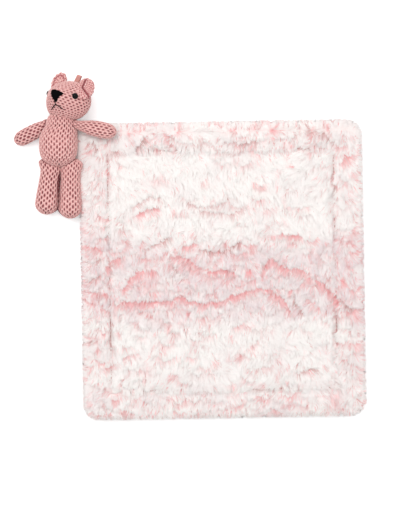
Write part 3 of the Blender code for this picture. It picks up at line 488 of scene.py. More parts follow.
def knit(points, seed, column=COLUMN, stitch=STITCH, across=HOLE_ACROSS, along=HOLE_ALONG, depth=HOLE_DEPTH,
         turn=0.0):
    """Presses staggered stitch holes into rings of points and raises the cords of yarn that net round them.

    Returns the points, how deep in a hole each lies and how high on a cord."""
    rows, sides = points.shape[:2]
    random = np.random.default_rng(seed)
    edge = np.linalg.norm(np.roll(points, -1, axis=1) - points, axis=2)
    perimeter = edge.sum(axis=1)
    round_it = perimeter[:, None]
    share = (np.cumsum(edge, axis=1) - edge) / round_it + turn
    step = np.linalg.norm(np.diff(points, axis=0), axis=2)
    step = np.concatenate([step, step[-1:]])
    mean = step.mean(axis=1)
    reach = np.concatenate([[0.0], np.cumsum(mean[:-1])])
    stretch = np.clip(step / mean[:, None], 0.5, 2.0)
    rounds = int(reach[-1] / stitch) + 4
    sizes = np.interp(np.arange(rounds) * stitch, reach, perimeter)
    # The count stays the same over the swell and halves where the knit is drawn together
    most = 4 * max(1, round(perimeter.max() / column / 4.0))
    tight = sizes / perimeter.max()
    counts = np.where(tight > 0.50, most, np.where(tight > 0.24, most // 2, most // 4))
    swells = random.uniform(0.80, 1.18, (rounds, most + 1))
    shifts = random.normal(0.0, STITCH_SHIFT, (2, rounds, most + 1))
    leans = random.normal(0.0, STITCH_LEAN, (rounds, most + 1))
    place = reach / stitch
    near = np.full((2, rows, sides), 99.0)
    for offset in (-1, 0, 1, 2):
        index = np.clip(np.floor(place).astype(int) + offset, 0, rounds - 1)
        number = counts[index][:, None]
        angle = share * number - 0.5 * (index % 2)[:, None]
        for other in (0, 1):
            nearest = np.round(angle) + other * np.where(angle > np.round(angle), 1.0, -1.0)
            which = np.mod(nearest, number).astype(int)
            at = (index[:, None] * np.ones_like(which), which)
            forward = (place - index)[:, None] * stitch * stretch + shifts[1][at]
            sideways = (angle - nearest) / number * round_it + shifts[0][at] - leans[at] * forward
            narrow = np.clip(round_it / number / column, 0.55, 1.1)
            distance = np.hypot(sideways / (across * narrow * swells[at]), forward / (along * swells[at]))
            near[1] = np.minimum(near[1], np.maximum(near[0], distance))
            near[0] = np.minimum(near[0], distance)
    hole = np.exp(-(near[0] ** 2.4))
    cord = bell(near[1] - near[0], 0.55) * smoothstep(0.7, 1.5, near[0])
    lumps = random.normal(0.0, 1.0, (rows, sides))
    lumps = (lumps + np.roll(lumps, 1, axis=1) + np.roll(lumps, -1, axis=1)) / 2.0
    rise = LUMP_RISE * lumps + CORD_RISE * cord - depth * hole
    return points + outward(points) * rise[..., None], hole, cord


def painted_shade_at_torso(points):
    """Painted shade along the join where a limb is sewn on: 1 at the torso's surface, and 0 away from it."""
    x, y, z = np.moveaxis(points - np.array(TORSO), -1, 0)
    place = np.clip((NECK_Y - y) / (NECK_Y + TORSO_SEAT), 0.0, 0.999)
    swell = curve_through(TORSO_PLACES, TORSO_SWELLS, place)
    shift = NECK_X * (1.0 - np.minimum(place / TORSO_PLACES[2], 1.0))
    wide, deep = TORSO_WIDTH / 2.0, TORSO_DEPTH / 2.0
    off = np.hypot((x - shift) / wide, (z - deep + FLOOR_FLAT) / deep) - swell
    slope = np.clip((NECK_Y - y - 0.035) / 0.02, 0.0, 1.0)
    return bell(off * wide, 0.0014 + 0.0010 * slope)


def knitted(body, rings, matrix, seed, sewn=False, shade=None, **how):
    """One stuffed part of the bear, which stands for that part's cover and filling."""
    shown, hole, cord = knit(rings, seed, **how)
    shown = on_floor(moved(shown, matrix))
    # Steep sides get painted shade: a larger hole share and darker cords
    steep = 1.0 - np.clip(outward(shown)[..., 2] / 0.7, 0.0, 1.0)
    hole = np.clip(hole * (1.0 + 1.3 * steep) + 0.26 * steep * (1.0 - cord), 0.0, 1.0)
    if shade is not None:
        hole = np.maximum(hole, shade)
    # Limbs get painted shade along their join to the torso
    if sewn:
        hole = np.maximum(hole, 0.9 * painted_shade_at_torso(shown))
    obj = closed_tube(body + "_knit", shown, hole=hole, cord=cord)
    dress(obj, knit_pink, body, (body + "_cover", body + "_filling"))


def torso_rings():
    """The torso's rings, from the top of the neck's ball to the seat."""
    height = TORSO_DEPTH / 2.0 - FLOOR_FLAT
    across, up = circle(340)
    rings = []
    for turn in np.linspace(0.03, 0.5 * math.pi, 56)[:-1]:
        width = NECK_RADIUS * math.sin(turn)
        rings.append(xyz(NECK_X + width * across, NECK_Y + NECK_RADIUS * math.cos(turn), height + width * up))
    for angle in np.linspace(0.0, 0.5 * math.pi, 150)[:-1]:
        place = math.sin(angle)
        swell = float(curve_through(TORSO_PLACES, TORSO_SWELLS, place))
        x = NECK_X * (1.0 - min(place / TORSO_PLACES[2], 1.0)) + TORSO_WIDTH / 2.0 * swell * across
        rings.append(xyz(x, NECK_Y - place * (NECK_Y + TORSO_SEAT), height + TORSO_DEPTH / 2.0 * swell * up))
    return np.array(rings)


def snout(x, y, z):
    """How far the snout pushes the head's front out."""
    reach = SNOUT_REACH * np.exp(-((x / SNOUT_HALF_WIDTH) ** 2) - ((y + SNOUT_DROP) / SNOUT_HALF_HEIGHT) ** 2)
    return reach * np.clip(z / (HEAD_HALF_DEPTH * 0.5), 0.0, 1.0)


def head_rings():
    """The head's rings, from the chin to the crown, so that the knit's columns run round it."""
    across, up = circle(400)
    rings = []
    for rise in np.linspace(0.03, math.pi - 0.03, 210):
        crown = rise > math.pi / 2.0
        swell = math.sin(rise) ** (1.0 if crown else CHIN_POWER)
        x = HEAD_HALF_WIDTH * swell * across - (-CROWN_LEAN if crown else CHIN_LEAN) * math.cos(rise) ** 2
        y = -(HEAD_CROWN if crown else HEAD_CHIN) * math.cos(rise)
        z = HEAD_HALF_DEPTH * swell * up
        rings.append(xyz(x, y, z + np.where(z > 0.0, snout(x, y, z), 0.0)))
    return np.array(rings)


def face_depth(x, y):
    """How far the head's front stands out at a place of the face."""
    height = y / np.where(y > 0.0, HEAD_CROWN, HEAD_CHIN)
    swell = np.maximum(1.0 - height ** 2, 0.0) ** np.where(y > 0.0, 1.0, CHIN_POWER)
    lean = np.where(y > 0.0, -CROWN_LEAN, CHIN_LEAN) * height ** 2
    z = HEAD_HALF_DEPTH * np.sqrt(np.maximum(swell - ((x + lean) / HEAD_HALF_WIDTH) ** 2, 0.0))
    return z + snout(x, y, z)


def limb_rings(length, half_width, root, places, swells, round_from, depth_share, sides, rows):
    """A limb's rings along +X from its pivot: the ball at its root, then the limb to its round end."""
    across, up = circle(sides)
    rings = []
    for along in np.linspace(-root * 0.97, 0.0, 16)[:-1]:
        width = math.sqrt(root ** 2 - along ** 2)
        rings.append(xyz(along, width * across, width * up))
    for angle in np.linspace(0.0, 0.5 * math.pi, rows)[:-1]:
        share = math.sin(angle)
        width = half_width * float(curve_through(places, swells, share))
        if share > round_from:
            width *= math.sqrt(1.0 - ((share - round_from) / (1.0 - round_from)) ** 2)
        along = length * share
        ball = math.sqrt(max(root ** 2 - along ** 2, 0.0))
        rings.append(xyz(along, max(ball, width) * across, max(ball, width * depth_share) * up))
    return np.array(rings)


head_half = math.hypot(HEAD_HALF_WIDTH * math.sin(HEAD_YAW), HEAD_HALF_DEPTH * math.cos(HEAD_YAW))
head_turn = Matrix.Rotation(HEAD_ROLL, 3, "Z") @ Matrix.Rotation(-HEAD_PITCH, 3, "X")
head_turn = head_turn @ Matrix.Rotation(HEAD_YAW, 3, "Y")
head_matrix = matrix_of((HEAD_X, HEAD_Y, head_half - FLOOR_FLAT), head_turn.to_euler())
knitted("torso", torso_rings(), matrix_of((0.0, 0.0, 0.0), Euler()), 1, turn=0.02)
knitted("head", head_rings(), head_matrix, 2, column=0.0064, stitch=0.0034, across=0.00150, along=0.00086)


def arm(side, pivot, direction, drop, size, swells, across, sides, rows, seed):
    """An arm from its shoulder, turned by direction in the plane and let down by drop."""
    place = matrix_of(pivot, Euler((0.0, drop, math.radians(direction)), "XYZ"))
    rings = limb_rings(*size, ARM_PLACES, swells, ARM_ROUND_FROM, ARM_DEPTH_SHARE, sides, rows)
    knitted(side + "_arm", rings, place, seed, sewn=True, column=0.0074, stitch=0.0034, across=across)


def leg(side, pivot_x, direction, length, thigh, hip, across, seed):
    """A leg from its hip. Thigh and hip say how much fuller it is on its outer side there."""
    drop = math.asin((HIP_HEIGHT - LEG_HALF_WIDTH + FLOOR_FLAT) / (length * LEG_ROUND_FROM))
    place = matrix_of((pivot_x, HIP_Y, HIP_HEIGHT), Euler((0.0, drop, math.radians(direction)), "XYZ"))
    rings = limb_rings(length, LEG_HALF_WIDTH, LEG_ROOT, LEG_PLACES, LEG_SWELLS, LEG_ROUND_FROM,
                       depth_share=1.0, sides=200, rows=150)
    inner = 1.0 if side == "right" else -1.0
    # A thigh is full where it meets the torso, most on its outer side
    outer = smoothstep(0.004, -0.004, inner * rings[..., 1])
    full = bell(rings[..., 0] + 0.0070, 0.0066) * (0.15 + thigh * outer)
    full = full + (0.16 + (hip - 0.16) * outer) * bell(rings[..., 0], 0.009)
    rings[..., 1] *= 1.0 + full
    rings[..., 0] -= 0.0016 * smoothstep(0.0, -0.010, rings[..., 0])
    # The lower inner sides are soft and press against each other
    along = rings[..., 0]
    pressed = np.clip(inner * rings[..., 1] / LEG_HALF_WIDTH, 0.0, 1.0)
    pressed = pressed * smoothstep(0.004, -0.006, rings[..., 2])
    pressed = pressed * smoothstep(0.0, 0.012, along) * smoothstep(length, length - 0.010, along)
    rings[..., 1] += inner * 0.0030 * pressed
    # Deep in the gap between the legs the knit gets painted shade, and less where the legs press together
    inward = inner * rings[..., 1] / np.abs(rings[..., 1]).max(axis=1, keepdims=True)
    deep = smoothstep(0.82, 0.96, inward) * smoothstep(0.0, 0.014, along)
    deep = deep * smoothstep(length, length - 0.007, along)
    knitted(side + "_leg", rings, place, seed, sewn=True, shade=np.maximum(0.5 * pressed, 0.85 * deep),
            turn=0.01, across=across)


# The right hand lies on the surface, and the left one on the blanket's corner
right_arm_rise = RIGHT_SHOULDER[2] - RIGHT_ARM_HALF_WIDTH * ARM_DEPTH_SHARE + FLOOR_FLAT
left_arm_height = 2.0 * PANEL + GAP / 2.0 + GAP + LEFT_ARM_HALF_WIDTH * ARM_DEPTH_SHARE
arm("right", RIGHT_SHOULDER, direction=207.0,
    drop=math.asin(right_arm_rise / (RIGHT_ARM_LENGTH * ARM_ROUND_FROM)),
    size=(RIGHT_ARM_LENGTH, RIGHT_ARM_HALF_WIDTH, RIGHT_ARM_ROOT), swells=RIGHT_ARM_SWELLS,
    across=0.00132, sides=128, rows=110, seed=8)
arm("left", (*LEFT_SHOULDER, left_arm_height), direction=-11.5, drop=0.0,
    size=(LEFT_ARM_LENGTH, LEFT_ARM_HALF_WIDTH, LEFT_ARM_ROOT), swells=LEFT_ARM_SWELLS,
    across=0.00088, sides=140, rows=130, seed=7)
leg("right", -0.0104, direction=-96.5, length=0.0610, thigh=0.46, hip=0.0, across=0.00122, seed=18)
leg("left", 0.0161, direction=-91.0, length=0.0660, thigh=0.26, hip=0.12, across=0.00098, seed=17)


# Ears


def ear(side, at, turn, size, crease, seed):
    """A padded ear with its foot in the head: a rim of knit round a dish that a seam draws in."""
    half_width, half_height, thickness = size
    across, up = circle(200)
    # Where the ear lies on the head its edge gets painted shade
    lower = smoothstep(0.35, -0.35, up)
    rings, seams_and_painted_shade = [], []
    for angle in math.pi * np.linspace(0.02, 1.0 - 0.02, 120):
        radius = math.sin(angle) ** 0.72
        x, y = half_width * radius * across, half_height * radius * up
        front = angle < math.pi / 2.0
        dish = (1.0 - 0.45 * math.exp(-((radius / 0.60) ** 4))) if front else 1.0
        seam = bell(radius - 0.64, 0.070) if front else 0.0
        z = thickness * (math.cos(angle) * dish - 0.22 * seam)
        if crease:
            # A folded ear: its rim comes forward over a deep crease that bends out to its side
            gap, off, _, _ = to_line(x, y, crease)
            ground = bell(gap, 0.0014) if front else 0.0 * gap
            z = z - thickness * 0.75 * ground
            if front:
                z = z + thickness * 0.35 * bell(off + 0.0018, 0.0014)
            # The crease gets painted shade
            seam = np.maximum(seam * 0.3, 1.25 * ground)
        rings.append(xyz(x, y, z))
        seams_and_painted_shade.append(np.maximum(seam, 0.9 * lower * bell(angle - 0.54 * math.pi, 0.16)))
    rotation = Euler([math.radians(angle) for angle in turn], "XYZ").to_matrix().to_4x4()
    place = head_matrix @ Matrix.Translation(at) @ rotation
    shown, hole, cord = knit(np.array(rings), seed, column=0.0060, stitch=0.0029,
                             across=0.00100, along=0.00142, depth=0.0006)
    hole = np.maximum(hole, np.array(seams_and_painted_shade))
    obj = closed_tube(side + "_ear_knit", on_floor(moved(shown, place)), hole=hole, cord=cord)
    dress(obj, knit_ear, "head", (side + "_ear_back", side + "_ear_front"))


ear("right", at=(-0.0196, 0.0196, 0.005), turn=(-16.0, 22.0, -4.0), size=(0.0093, 0.0154, 0.0036),
    crease=None, seed=31)
ear("left", at=(0.0248, 0.0170, 0.0086), turn=(-22.0, 26.0, 3.0), size=(0.0114, 0.0166, 0.0042),
    crease=((-0.0026, 0.0120), (-0.0040, -0.0005), (0.0086, -0.0135)), seed=32)


# Face


def bead(side, x, look, sink):
    """A glossy bead eye, turned to look along the head's side and sunk into the knit."""
    seat = Matrix.Translation((x, EYE_Y, float(face_depth(x, EYE_Y)) - sink))
    across, up = circle(48)
    angles = np.linspace(0.05, math.pi - 0.05, 30)[:, None]
    rings = EYE_RADIUS * xyz(np.sin(angles) * across, np.sin(angles) * up, np.cos(angles))
    rings = moved(rings, head_matrix @ seat @ Matrix.Rotation(math.radians(look), 4, "Y"))
    dress(closed_tube(side + "_bead", rings), bead_black, "head", (side + "_eye",))


bead("right", x=-0.0262, look=-62.0, sink=0.0034)
bead("left", x=0.0202, look=38.0, sink=0.0003)


def nose_pad():
    """The felt nose: a crest with round shoulders that closes to a point, domed over the snout."""
    across, height = circle(96)
    widest = NOSE_TOP * 0.3
    below = np.minimum(height, 0.0)
    x = NOSE_HALF_WIDTH * np.sign(across) * np.abs(across) ** 0.8 * (1.0 + 0.56 * below) + 0.0020 * below ** 2
    y = np.where(height >= 0.0, widest + (NOSE_TOP - widest) * np.abs(height) ** 0.7,
                 widest + (NOSE_TOP - NOSE_HEIGHT - widest) * np.abs(height) ** 1.1 - 0.0009 * below ** 2)
    middle = NOSE_TOP - NOSE_HEIGHT * 0.45
    x, y = turned(x, y - middle, NOSE_ROLL)
    rings = []
    for share in np.concatenate([np.linspace(0.03, 0.98, 22), [1.0, 1.01, 1.0]]):
        px, py = NOSE_X + x * share, middle + y * share
        rise = 0.8 * NOSE_THICKNESS * np.sqrt(max(1.0 - share ** 3.0, 0.0)) + 0.0010
        rings.append(xyz(px, py, face_depth(px, py) + rise))
    rings[-1][:, 2] -= 0.0016
    obj = closed_tube("nose_felt", moved(np.array(rings), head_matrix))
    dress(obj, felt_black, "head", ("nose",))


nose_pad()


def twisted(name, line, radius, material, body, nodes, turns_per_metre, plies=2, sides=8):
    """A thread of twisted plies along a line of points."""
    line = np.asarray(line, float)
    tangent = unit(np.gradient(line, axis=0))
    side = unit(np.cross(tangent, np.tile([0.0, 0.0, 1.0], (len(line), 1)) + 1e-4))
    rise = np.cross(side, tangent)
    reach = way_along(line)
    across, up = circle(sides)
    each = len(line) * sides + 2
    points, quads, triangles = [], [], []
    for ply in range(plies):
        spin = 2.0 * math.pi * (reach * turns_per_metre + ply / plies)
        centre = line + 0.5 * radius * (side * np.cos(spin)[:, None] + rise * np.sin(spin)[:, None])
        ring = side[:, None] * across[None, :, None] + rise[:, None] * up[None, :, None]
        shape = centre[:, None] + 0.62 * radius * ring
        points.append(np.concatenate([shape.reshape(-1, 3), centre[:1], centre[-1:]]))
        quads.append(tube_faces(len(line), sides) + ply * each)
        triangles.append(end_fans(len(line), sides) + ply * each)
    obj = make_mesh(name, np.concatenate(points), np.concatenate(quads), np.concatenate(triangles))
    dress(obj, material, body, nodes)


def mouth():
    """One black thread in an upturned V whose two ends cross at the top."""
    top = NOSE_TOP - NOSE_HEIGHT - MOUTH_DROP

    def thread(name, x, y, radius, nodes, sunk=0):
        z = face_depth(x, y) + 0.0010
        z[:sunk] -= 0.0012
        z[len(z) - sunk:] -= 0.0012
        line = moved(xyz(x, y, z), head_matrix)
        twisted(name, line, radius, thread_black, "head", nodes, turns_per_metre=420.0)

    share = np.linspace(-1.0, 1.0, 60)
    x, y = turned(MOUTH_HALF_WIDTH * share * np.where(share < 0.0, 1.18, 1.0),
                  -MOUTH_HEIGHT * np.abs(share) ** 0.95, MOUTH_ROLL)
    thread("mouth_thread", x, top + y, MOUTH_RADIUS * 1.15, ("mouth_stitch",), sunk=3)
    share = np.linspace(-0.3, 1.0, 14)
    for side, lean in (("right", -0.0004), ("left", 0.0004)):
        thread("mouth_cross_" + side, lean * share, top + 0.0002 + 0.0034 * share, MOUTH_RADIUS, ())


mouth()


def ribbon():
    """The satin tab: a short loop of ribbon with its two ends sewn into the head's seam."""
    half_width, length, thickness, columns, rows = 0.0035, 0.0138, 0.0009, 15, 60
    across, way = np.linspace(-1.0, 1.0, columns), np.linspace(0.0, 1.0, rows)[:, None]
    y = length * np.sin(math.pi * way) ** 0.85 - length / 2.0
    apart = thickness * np.cos(math.pi * way) * (1.0 + 0.5 * np.sin(math.pi * way))
    x = half_width * across + 0.0006 * np.sin(2.0 * way)
    points = [xyz(x, y, apart + layer + 0.00025 * np.cos(across * 2.6)) for layer in (0.00012, -0.00012)]
    turn = Matrix.Rotation(math.radians(-9.0), 4, "Z")
    place = head_matrix @ Matrix.Translation((0.0034, 0.0286, 0.0)) @ turn
    under = grid_faces(columns, rows, True) + rows * columns
    quads = np.concatenate([grid_faces(columns, rows, False), under])
    obj = make_mesh("ribbon_loop", moved(np.concatenate(points).reshape(-1, 3), place), quads)
    dress(obj, satin, "head", ("ribbon_tab",))


ribbon()


# Blanket


BLANKET_AT = TORSO + Vector((BLANKET_LEFT + BLANKET_WIDTH / 2.0, BLANKET_TOP - BLANKET_LENGTH / 2.0, 0.0))
BLANKET = Matrix.Translation(BLANKET_AT) @ Matrix.Rotation(BLANKET_TURN, 4, "Z")
HALF_X, HALF_Y = BLANKET_WIDTH / 2.0, BLANKET_LENGTH / 2.0

warp_wide = wavy(21, 0.120)
turn_wide, turn_fine = wavy(23, 0.110), wavy(24, 0.038)
mask_crest, mask_rose, mask_lilac = wavy(25, 0.075), wavy(26, 0.030), wavy(27, 0.060)
swell_wide, swell_fine = wavy(28, 0.090), wavy(29, 0.024)


def inset_of(x, y):
    """How far a place lies inside the blanket's rounded outline; below 0 it lies outside."""
    over_x, over_y = np.abs(x) - (HALF_X - BLANKET_CORNER), np.abs(y) - (HALF_Y - BLANKET_CORNER)
    outside = np.hypot(np.maximum(over_x, 0.0), np.maximum(over_y, 0.0))
    return BLANKET_CORNER - outside - np.minimum(np.maximum(over_x, over_y), 0.0)


def outward_way(x, y):
    """The way out to the blanket's nearest edge."""
    step = 0.0005
    gx = inset_of(x + step, y) - inset_of(x - step, y)
    gy = inset_of(x, y + step) - inset_of(x, y - step)
    length = np.maximum(np.hypot(gx, gy), 1e-9)
    return -gx / length, -gy / length


def mid_band(x, y):
    """The share of the rose band that crosses the blanket's middle."""
    return smoothstep(0.022, -0.014, np.abs(y + 0.010 + 0.012 * warp_wide(x, y)) - 0.046)


def border_share(x, y):
    """A share that is 1 outside the topstitching and 0 inside it."""
    return smoothstep(CHANNEL_INSET + 0.004, CHANNEL_INSET - 0.004, inset_of(x, y))


def scattered_tufts():
    """Lower edges of tufts all over the fur: (strength, rose, points), more and rosier in the middle band."""
    random = np.random.default_rng(51)
    tufts = []
    for row in np.arange(-HALF_Y + 0.008, HALF_Y, 0.0145):
        for column in np.arange(-HALF_X + 0.008, HALF_X, 0.0165):
            cx, cy = column + random.uniform(-0.007, 0.007), row + random.uniform(-0.006, 0.006)
            band = float(mid_band(np.array(cx), np.array(cy)))
            border = 1.0 if inset_of(np.array(cx), np.array(cy)) < CHANNEL_INSET else 0.0
            draw = random.random(6)
            if draw[0] > 0.16 + 0.70 * band + 0.45 * border + (0.26 if cy < -0.05 else 0.0):
                continue
            half, lean = 0.0035 + 0.0075 * draw[1] ** 1.4, random.normal(0.0, 0.50)
            bend = (0.25 + 0.5 * draw[2]) * half
            way = np.linspace(-1.0, 1.0, 6)
            along, down = way * half, bend * (way ** 2 - 0.4) + 0.0006 * np.sin(9.0 * way + 6.0 * draw[3])
            px = cx + along * math.cos(lean) - down * math.sin(lean)
            py = cy + along * math.sin(lean) + down * math.cos(lean)
            strength = 0.30 + 0.45 * draw[4] + 0.15 * band
            rose = np.clip((draw[5] - 0.45) * 1.1 + 0.15 * band + 0.22 * border, 0.0, 0.95)
            tufts.append((strength, float(rose), list(zip(px, py))))
    return tufts


def pile_field(x, y):
    """The front's pile at each place: height, way in x and y, rose, dark, lilac, and how far off a lip is."""
    shape, x, y = x.shape, x.ravel(), y.ravel()
    band = mid_band(x, y)
    rose, dark = np.zeros(x.shape), np.zeros(x.shape)
    lip, white = np.full(x.shape, 1.0), np.full(x.shape, 1.0)
    height = 0.0009 * swell_wide(x, y) + 0.0006 * swell_fine(x, y)
    angle = -0.5 * math.pi + 0.60 * turn_wide(x, y) + 0.45 * turn_fine(x, y)
    angle = angle + (0.30 + 0.35 * band) * swell_fine(y, -x)
    flow_x, flow_y = np.cos(angle), np.sin(angle)
    ragged = 0.0011 * swell_fine(x * 1.7, y * 1.7) + 0.0007 * mask_rose(y * 3.0, x * 3.0)

    def lay(line, strength, tint, width, shade, reach, step):
        """Lays one lip: fur above it swells and ends there, and below it the roots show.

        Width is how far the rose below it goes, and shade how much painted shade the parting gets and how far
        that goes.
        Reach is how far above it locks end at it, and step how high the fur swells."""
        (left, low), (right, high) = np.min(line, axis=0) - 0.016, np.max(line, axis=0) + 0.016
        at = np.flatnonzero((x > left) & (x < right) & (y > low) & (y < high))
        gap, side, nx, ny = to_line(x[at], y[at], line)
        side = side + ragged[at]
        pull = strength * bell(gap, 0.009) * 2.6
        flow_x[at] += pull * nx
        flow_y[at] += pull * ny
        ahead = np.maximum(side, 0.0)
        close = bell(np.maximum(gap - np.abs(side), 0.0), 0.003)
        below = np.where(side > 0.0, np.exp(-((ahead / width) ** 3)), bell(side, 0.0006)) * close
        # The tips that hang over the lip are white
        tips = 1.0 - 0.85 * strength * np.where(side < 0.0, bell(side + 0.0035, 0.0030), 0.0) * close
        rose[at] = np.maximum(rose[at] * tips, np.minimum(tint * below, 1.0))
        white[at] = np.minimum(white[at], tips)
        # Under the lip the parting gets painted shade
        thin = np.where(side > 0.0, np.exp(-((ahead / shade[1]) ** 1.5)), bell(side, 0.0005)) * close
        dark[at] = np.maximum(dark[at], shade[0] * thin)
        lip[at] = np.where((side < 0.0) & (gap < reach), np.minimum(lip[at], -side), lip[at])
        rise = bell(side + 0.0035, 0.0032) - 1.1 * bell(side - 0.0020, 0.0028)
        height[at] += strength * step * rise * close

    for strength, tint, line in scattered_tufts():
        lay(line, strength, tint, width=0.0026, shade=(0.12 * tint, 0.0011), reach=0.008, step=0.0006)
    for strength, *line in RIDGES:
        lay(MM * np.array(line), strength, 1.45 * strength,
            width=0.0048, shade=(0.16 * strength, 0.0009), reach=0.012, step=0.0009)
    # A crease's dark is painted shade in its parting
    for strength, *line in CREASES:
        strength = min(1.25 * strength, 1.0)
        lay(MM * np.array(line), strength, 0.60 * strength,
            width=0.0024, shade=(0.85 * strength, 0.0010), reach=0.010, step=0.0009)
    for cx, cy, half_x, half_y, strength in SPOTS:
        near = ((x - MM * cx) / (MM * half_x * 1.25)) ** 2 + ((y - MM * cy) / (MM * half_y * 1.25)) ** 2
        near = near * (1.0 + 0.35 * swell_fine(x * 2.0, y * 2.0))
        inside = np.exp(-near)
        rose = np.maximum(rose, 1.2 * strength * inside)
        dark = np.maximum(dark, 0.6 * max(strength - 0.6, 0.0) * np.exp(-near * 2.5))
        height = height - 0.0010 * strength * inside
    # Small partings are scattered between, and the middle band is rosy all over
    scatter = np.clip(mask_rose(x * 1.7 + 0.3, y * 1.7) - 1.05 + 0.35 * band, 0.0, 1.0)
    rose = np.clip(np.maximum(rose, 0.9 * scatter), 0.0, 1.0)
    lilac = 0.05 + 0.10 * mask_lilac(x, y) + (0.70 + 0.25 * mask_rose(x * 1.3, y * 1.3)) * band
    lilac = lilac + 0.16 * border_share(x, y) * (1.0 + mask_lilac(y, x))
    lilac = np.clip(lilac, 0.0, 1.0) * (0.4 + 0.6 * white)
    # Along the topstitching the pile parts to both sides and its roots show
    past = inset_of(x, y) + 0.0012 * swell_fine(y, x) - CHANNEL_INSET
    out_x, out_y = outward_way(x, y)
    part = -np.sign(past) * bell(past, 0.0045) * (0.9 + 0.5 * mask_crest(y, x))
    flow_x, flow_y = flow_x + part * out_x, flow_y + part * out_y
    thin = bell(past, 0.0012)
    rose = np.clip(rose + 0.42 * thin * np.clip(0.5 + 1.2 * mask_rose(y, x), 0.0, 1.0), 0.0, 1.0)
    # The groove gets painted shade
    dark = np.clip(dark + 0.50 * thin * np.clip(0.40 + mask_crest(y, x), 0.0, 1.0), 0.0, 1.0)
    height = height - 0.75 * CHANNEL_DEPTH * bell(past, 0.65 * CHANNEL_HALF_WIDTH)
    length = np.hypot(flow_x, flow_y)
    values = (height, flow_x / length, flow_y / length, rose, dark, lilac, lip)
    return [value.reshape(shape) for value in values]


def back_field(x, y):
    """The back's pile is pressed on the floor: even, with soft swirls and little rose."""
    angle = -0.5 * math.pi + 0.8 * turn_wide(-x, y) + 0.3 * turn_fine(-x, y)
    rose = np.clip(0.35 * (mask_rose(-x, y) - 0.6), 0.0, 1.0)
    lilac = np.clip(0.25 + 0.15 * mask_lilac(-x, y), 0.0, 1.0)
    none, far = np.zeros(x.shape), np.full(x.shape, 1.0)
    return none, np.cos(angle), np.sin(angle), rose, none, lilac, far


def edge_share(inset):
    return np.sqrt(1.0 - (1.0 - np.clip(inset / EDGE_ROUND, 0.0, 1.0)) ** 2)


def by_the_bear(x, y):
    """A share that is 1 where the blanket's left edge is pushed up against the bear."""
    return smoothstep(-HALF_X + 0.020, -HALF_X + 0.004, x) * smoothstep(0.075, 0.125, y)


def front_base(x, y, height):
    """The height of the front panel's backing, a pile's depth below the fur's surface."""
    edge = edge_share(inset_of(x, y) + 0.0008 + 0.0065 * by_the_bear(x, y))
    low, top = PANEL + 0.0020, PANEL * 2.0 - PILE + height
    return low + (top - low) * edge


def back_base(x, y):
    inset = inset_of(x, y)
    top = PANEL - 0.0004
    return top - (top - 0.0022) * edge_share(inset) + 0.003 * bell(inset - CHANNEL_INSET, CHANNEL_HALF_WIDTH)


def panel_sheet(name, front, node_name):
    """One panel's backing. Its points crowd towards the edge, and the corners are drawn in along it."""
    count_x, count_y = 200, 210
    spread = math.pi / 2.0 * 0.86
    x, y = np.meshgrid(*(half * np.sin(spread * np.linspace(-1.0, 1.0, count)) / math.sin(spread)
                         for half, count in ((HALF_X, count_x), (HALF_Y, count_y))))
    for _ in range(6):
        out = np.minimum(inset_of(x, y), 0.0)
        nx, ny = outward_way(x, y)
        x, y = x + nx * out, y + ny * out
    height, _, _, rose, dark, lilac, _ = pile_field(x, y) if front else back_field(x, y)
    z = front_base(x, y, height) if front else back_base(x, y)
    pile = xyz(np.clip(rose * 1.1 + 0.05, 0.0, 1.0), dark, lilac).reshape(-1, 3)
    lock = np.zeros_like(pile) + (0.0, 0.4, 0.0)
    points = moved(xyz(x, y, z).reshape(-1, 3), BLANKET)
    obj = make_mesh(name, points, grid_faces(count_x, count_y, not front), pile=pile, lock=lock)
    return dress(obj, fur, "blanket", (node_name,))


def jittered(spacing, margin):
    """Roots inside the blanket's outline, one to each square of the spacing at a random place in it."""
    across, down = int(2.0 * HALF_X / spacing) + 1, int(2.0 * HALF_Y / spacing) + 1
    u, v = np.meshgrid(np.arange(across), np.arange(down))
    x = (u.ravel() + rng.random(u.size)) * spacing - HALF_X
    y = (v.ravel() + rng.random(v.size)) * spacing - HALF_Y
    inside = inset_of(x, y) > margin
    return x[inside], y[inside]


def nearest_clump(x, y, spacing, seed):
    """The middle and the number of the clump that each root belongs to."""
    random = np.random.default_rng(seed)
    across, down = int(2.0 * HALF_X / spacing) + 6, int(2.0 * HALF_Y / spacing) + 6
    jx, jy = random.random((down, across)), random.random((down, across))
    cx, cy = (x + HALF_X) / spacing + 2.0, (y + HALF_Y) / spacing + 2.0
    best = np.full(x.shape, 99.0)
    mx, my, number = np.zeros(x.shape), np.zeros(x.shape), np.zeros(x.shape, int)
    for di in (-1, 0, 1):
        for dj in (-1, 0, 1):
            i = np.clip(np.floor(cx).astype(int) + di, 0, across - 1)
            j = np.clip(np.floor(cy).astype(int) + dj, 0, down - 1)
            px, py = i + jx[j, i], j + jy[j, i]
            distance = (px - cx) ** 2 + (py - cy) ** 2
            closer = distance < best
            best = np.where(closer, distance, best)
            mx = np.where(closer, (px - 2.0) * spacing - HALF_X, mx)
            my = np.where(closer, (py - 2.0) * spacing - HALF_Y, my)
            number = np.where(closer, j * across + i, number)
    return mx, my, number


height_x = np.linspace(-HALF_X, HALF_X, 480)
height_y = np.linspace(-HALF_Y, HALF_Y, 500)
height_table = pile_field(*np.meshgrid(height_x, height_y))[0]


def field_height(x, y):
    """The front's height, read from a table of it so that the locks can follow it."""
    u = np.clip((x + HALF_X) / (2.0 * HALF_X) * (len(height_x) - 1), 0, len(height_x) - 1.001)
    v = np.clip((y + HALF_Y) / (2.0 * HALF_Y) * (len(height_y) - 1), 0, len(height_y) - 1.001)
    i, j = u.astype(int), v.astype(int)
    a, b = u - i, v - j
    low = height_table[j, i] * (1.0 - a) + height_table[j, i + 1] * a
    high = height_table[j + 1, i] * (1.0 - a) + height_table[j + 1, i + 1] * a
    return low * (1.0 - b) + high * b


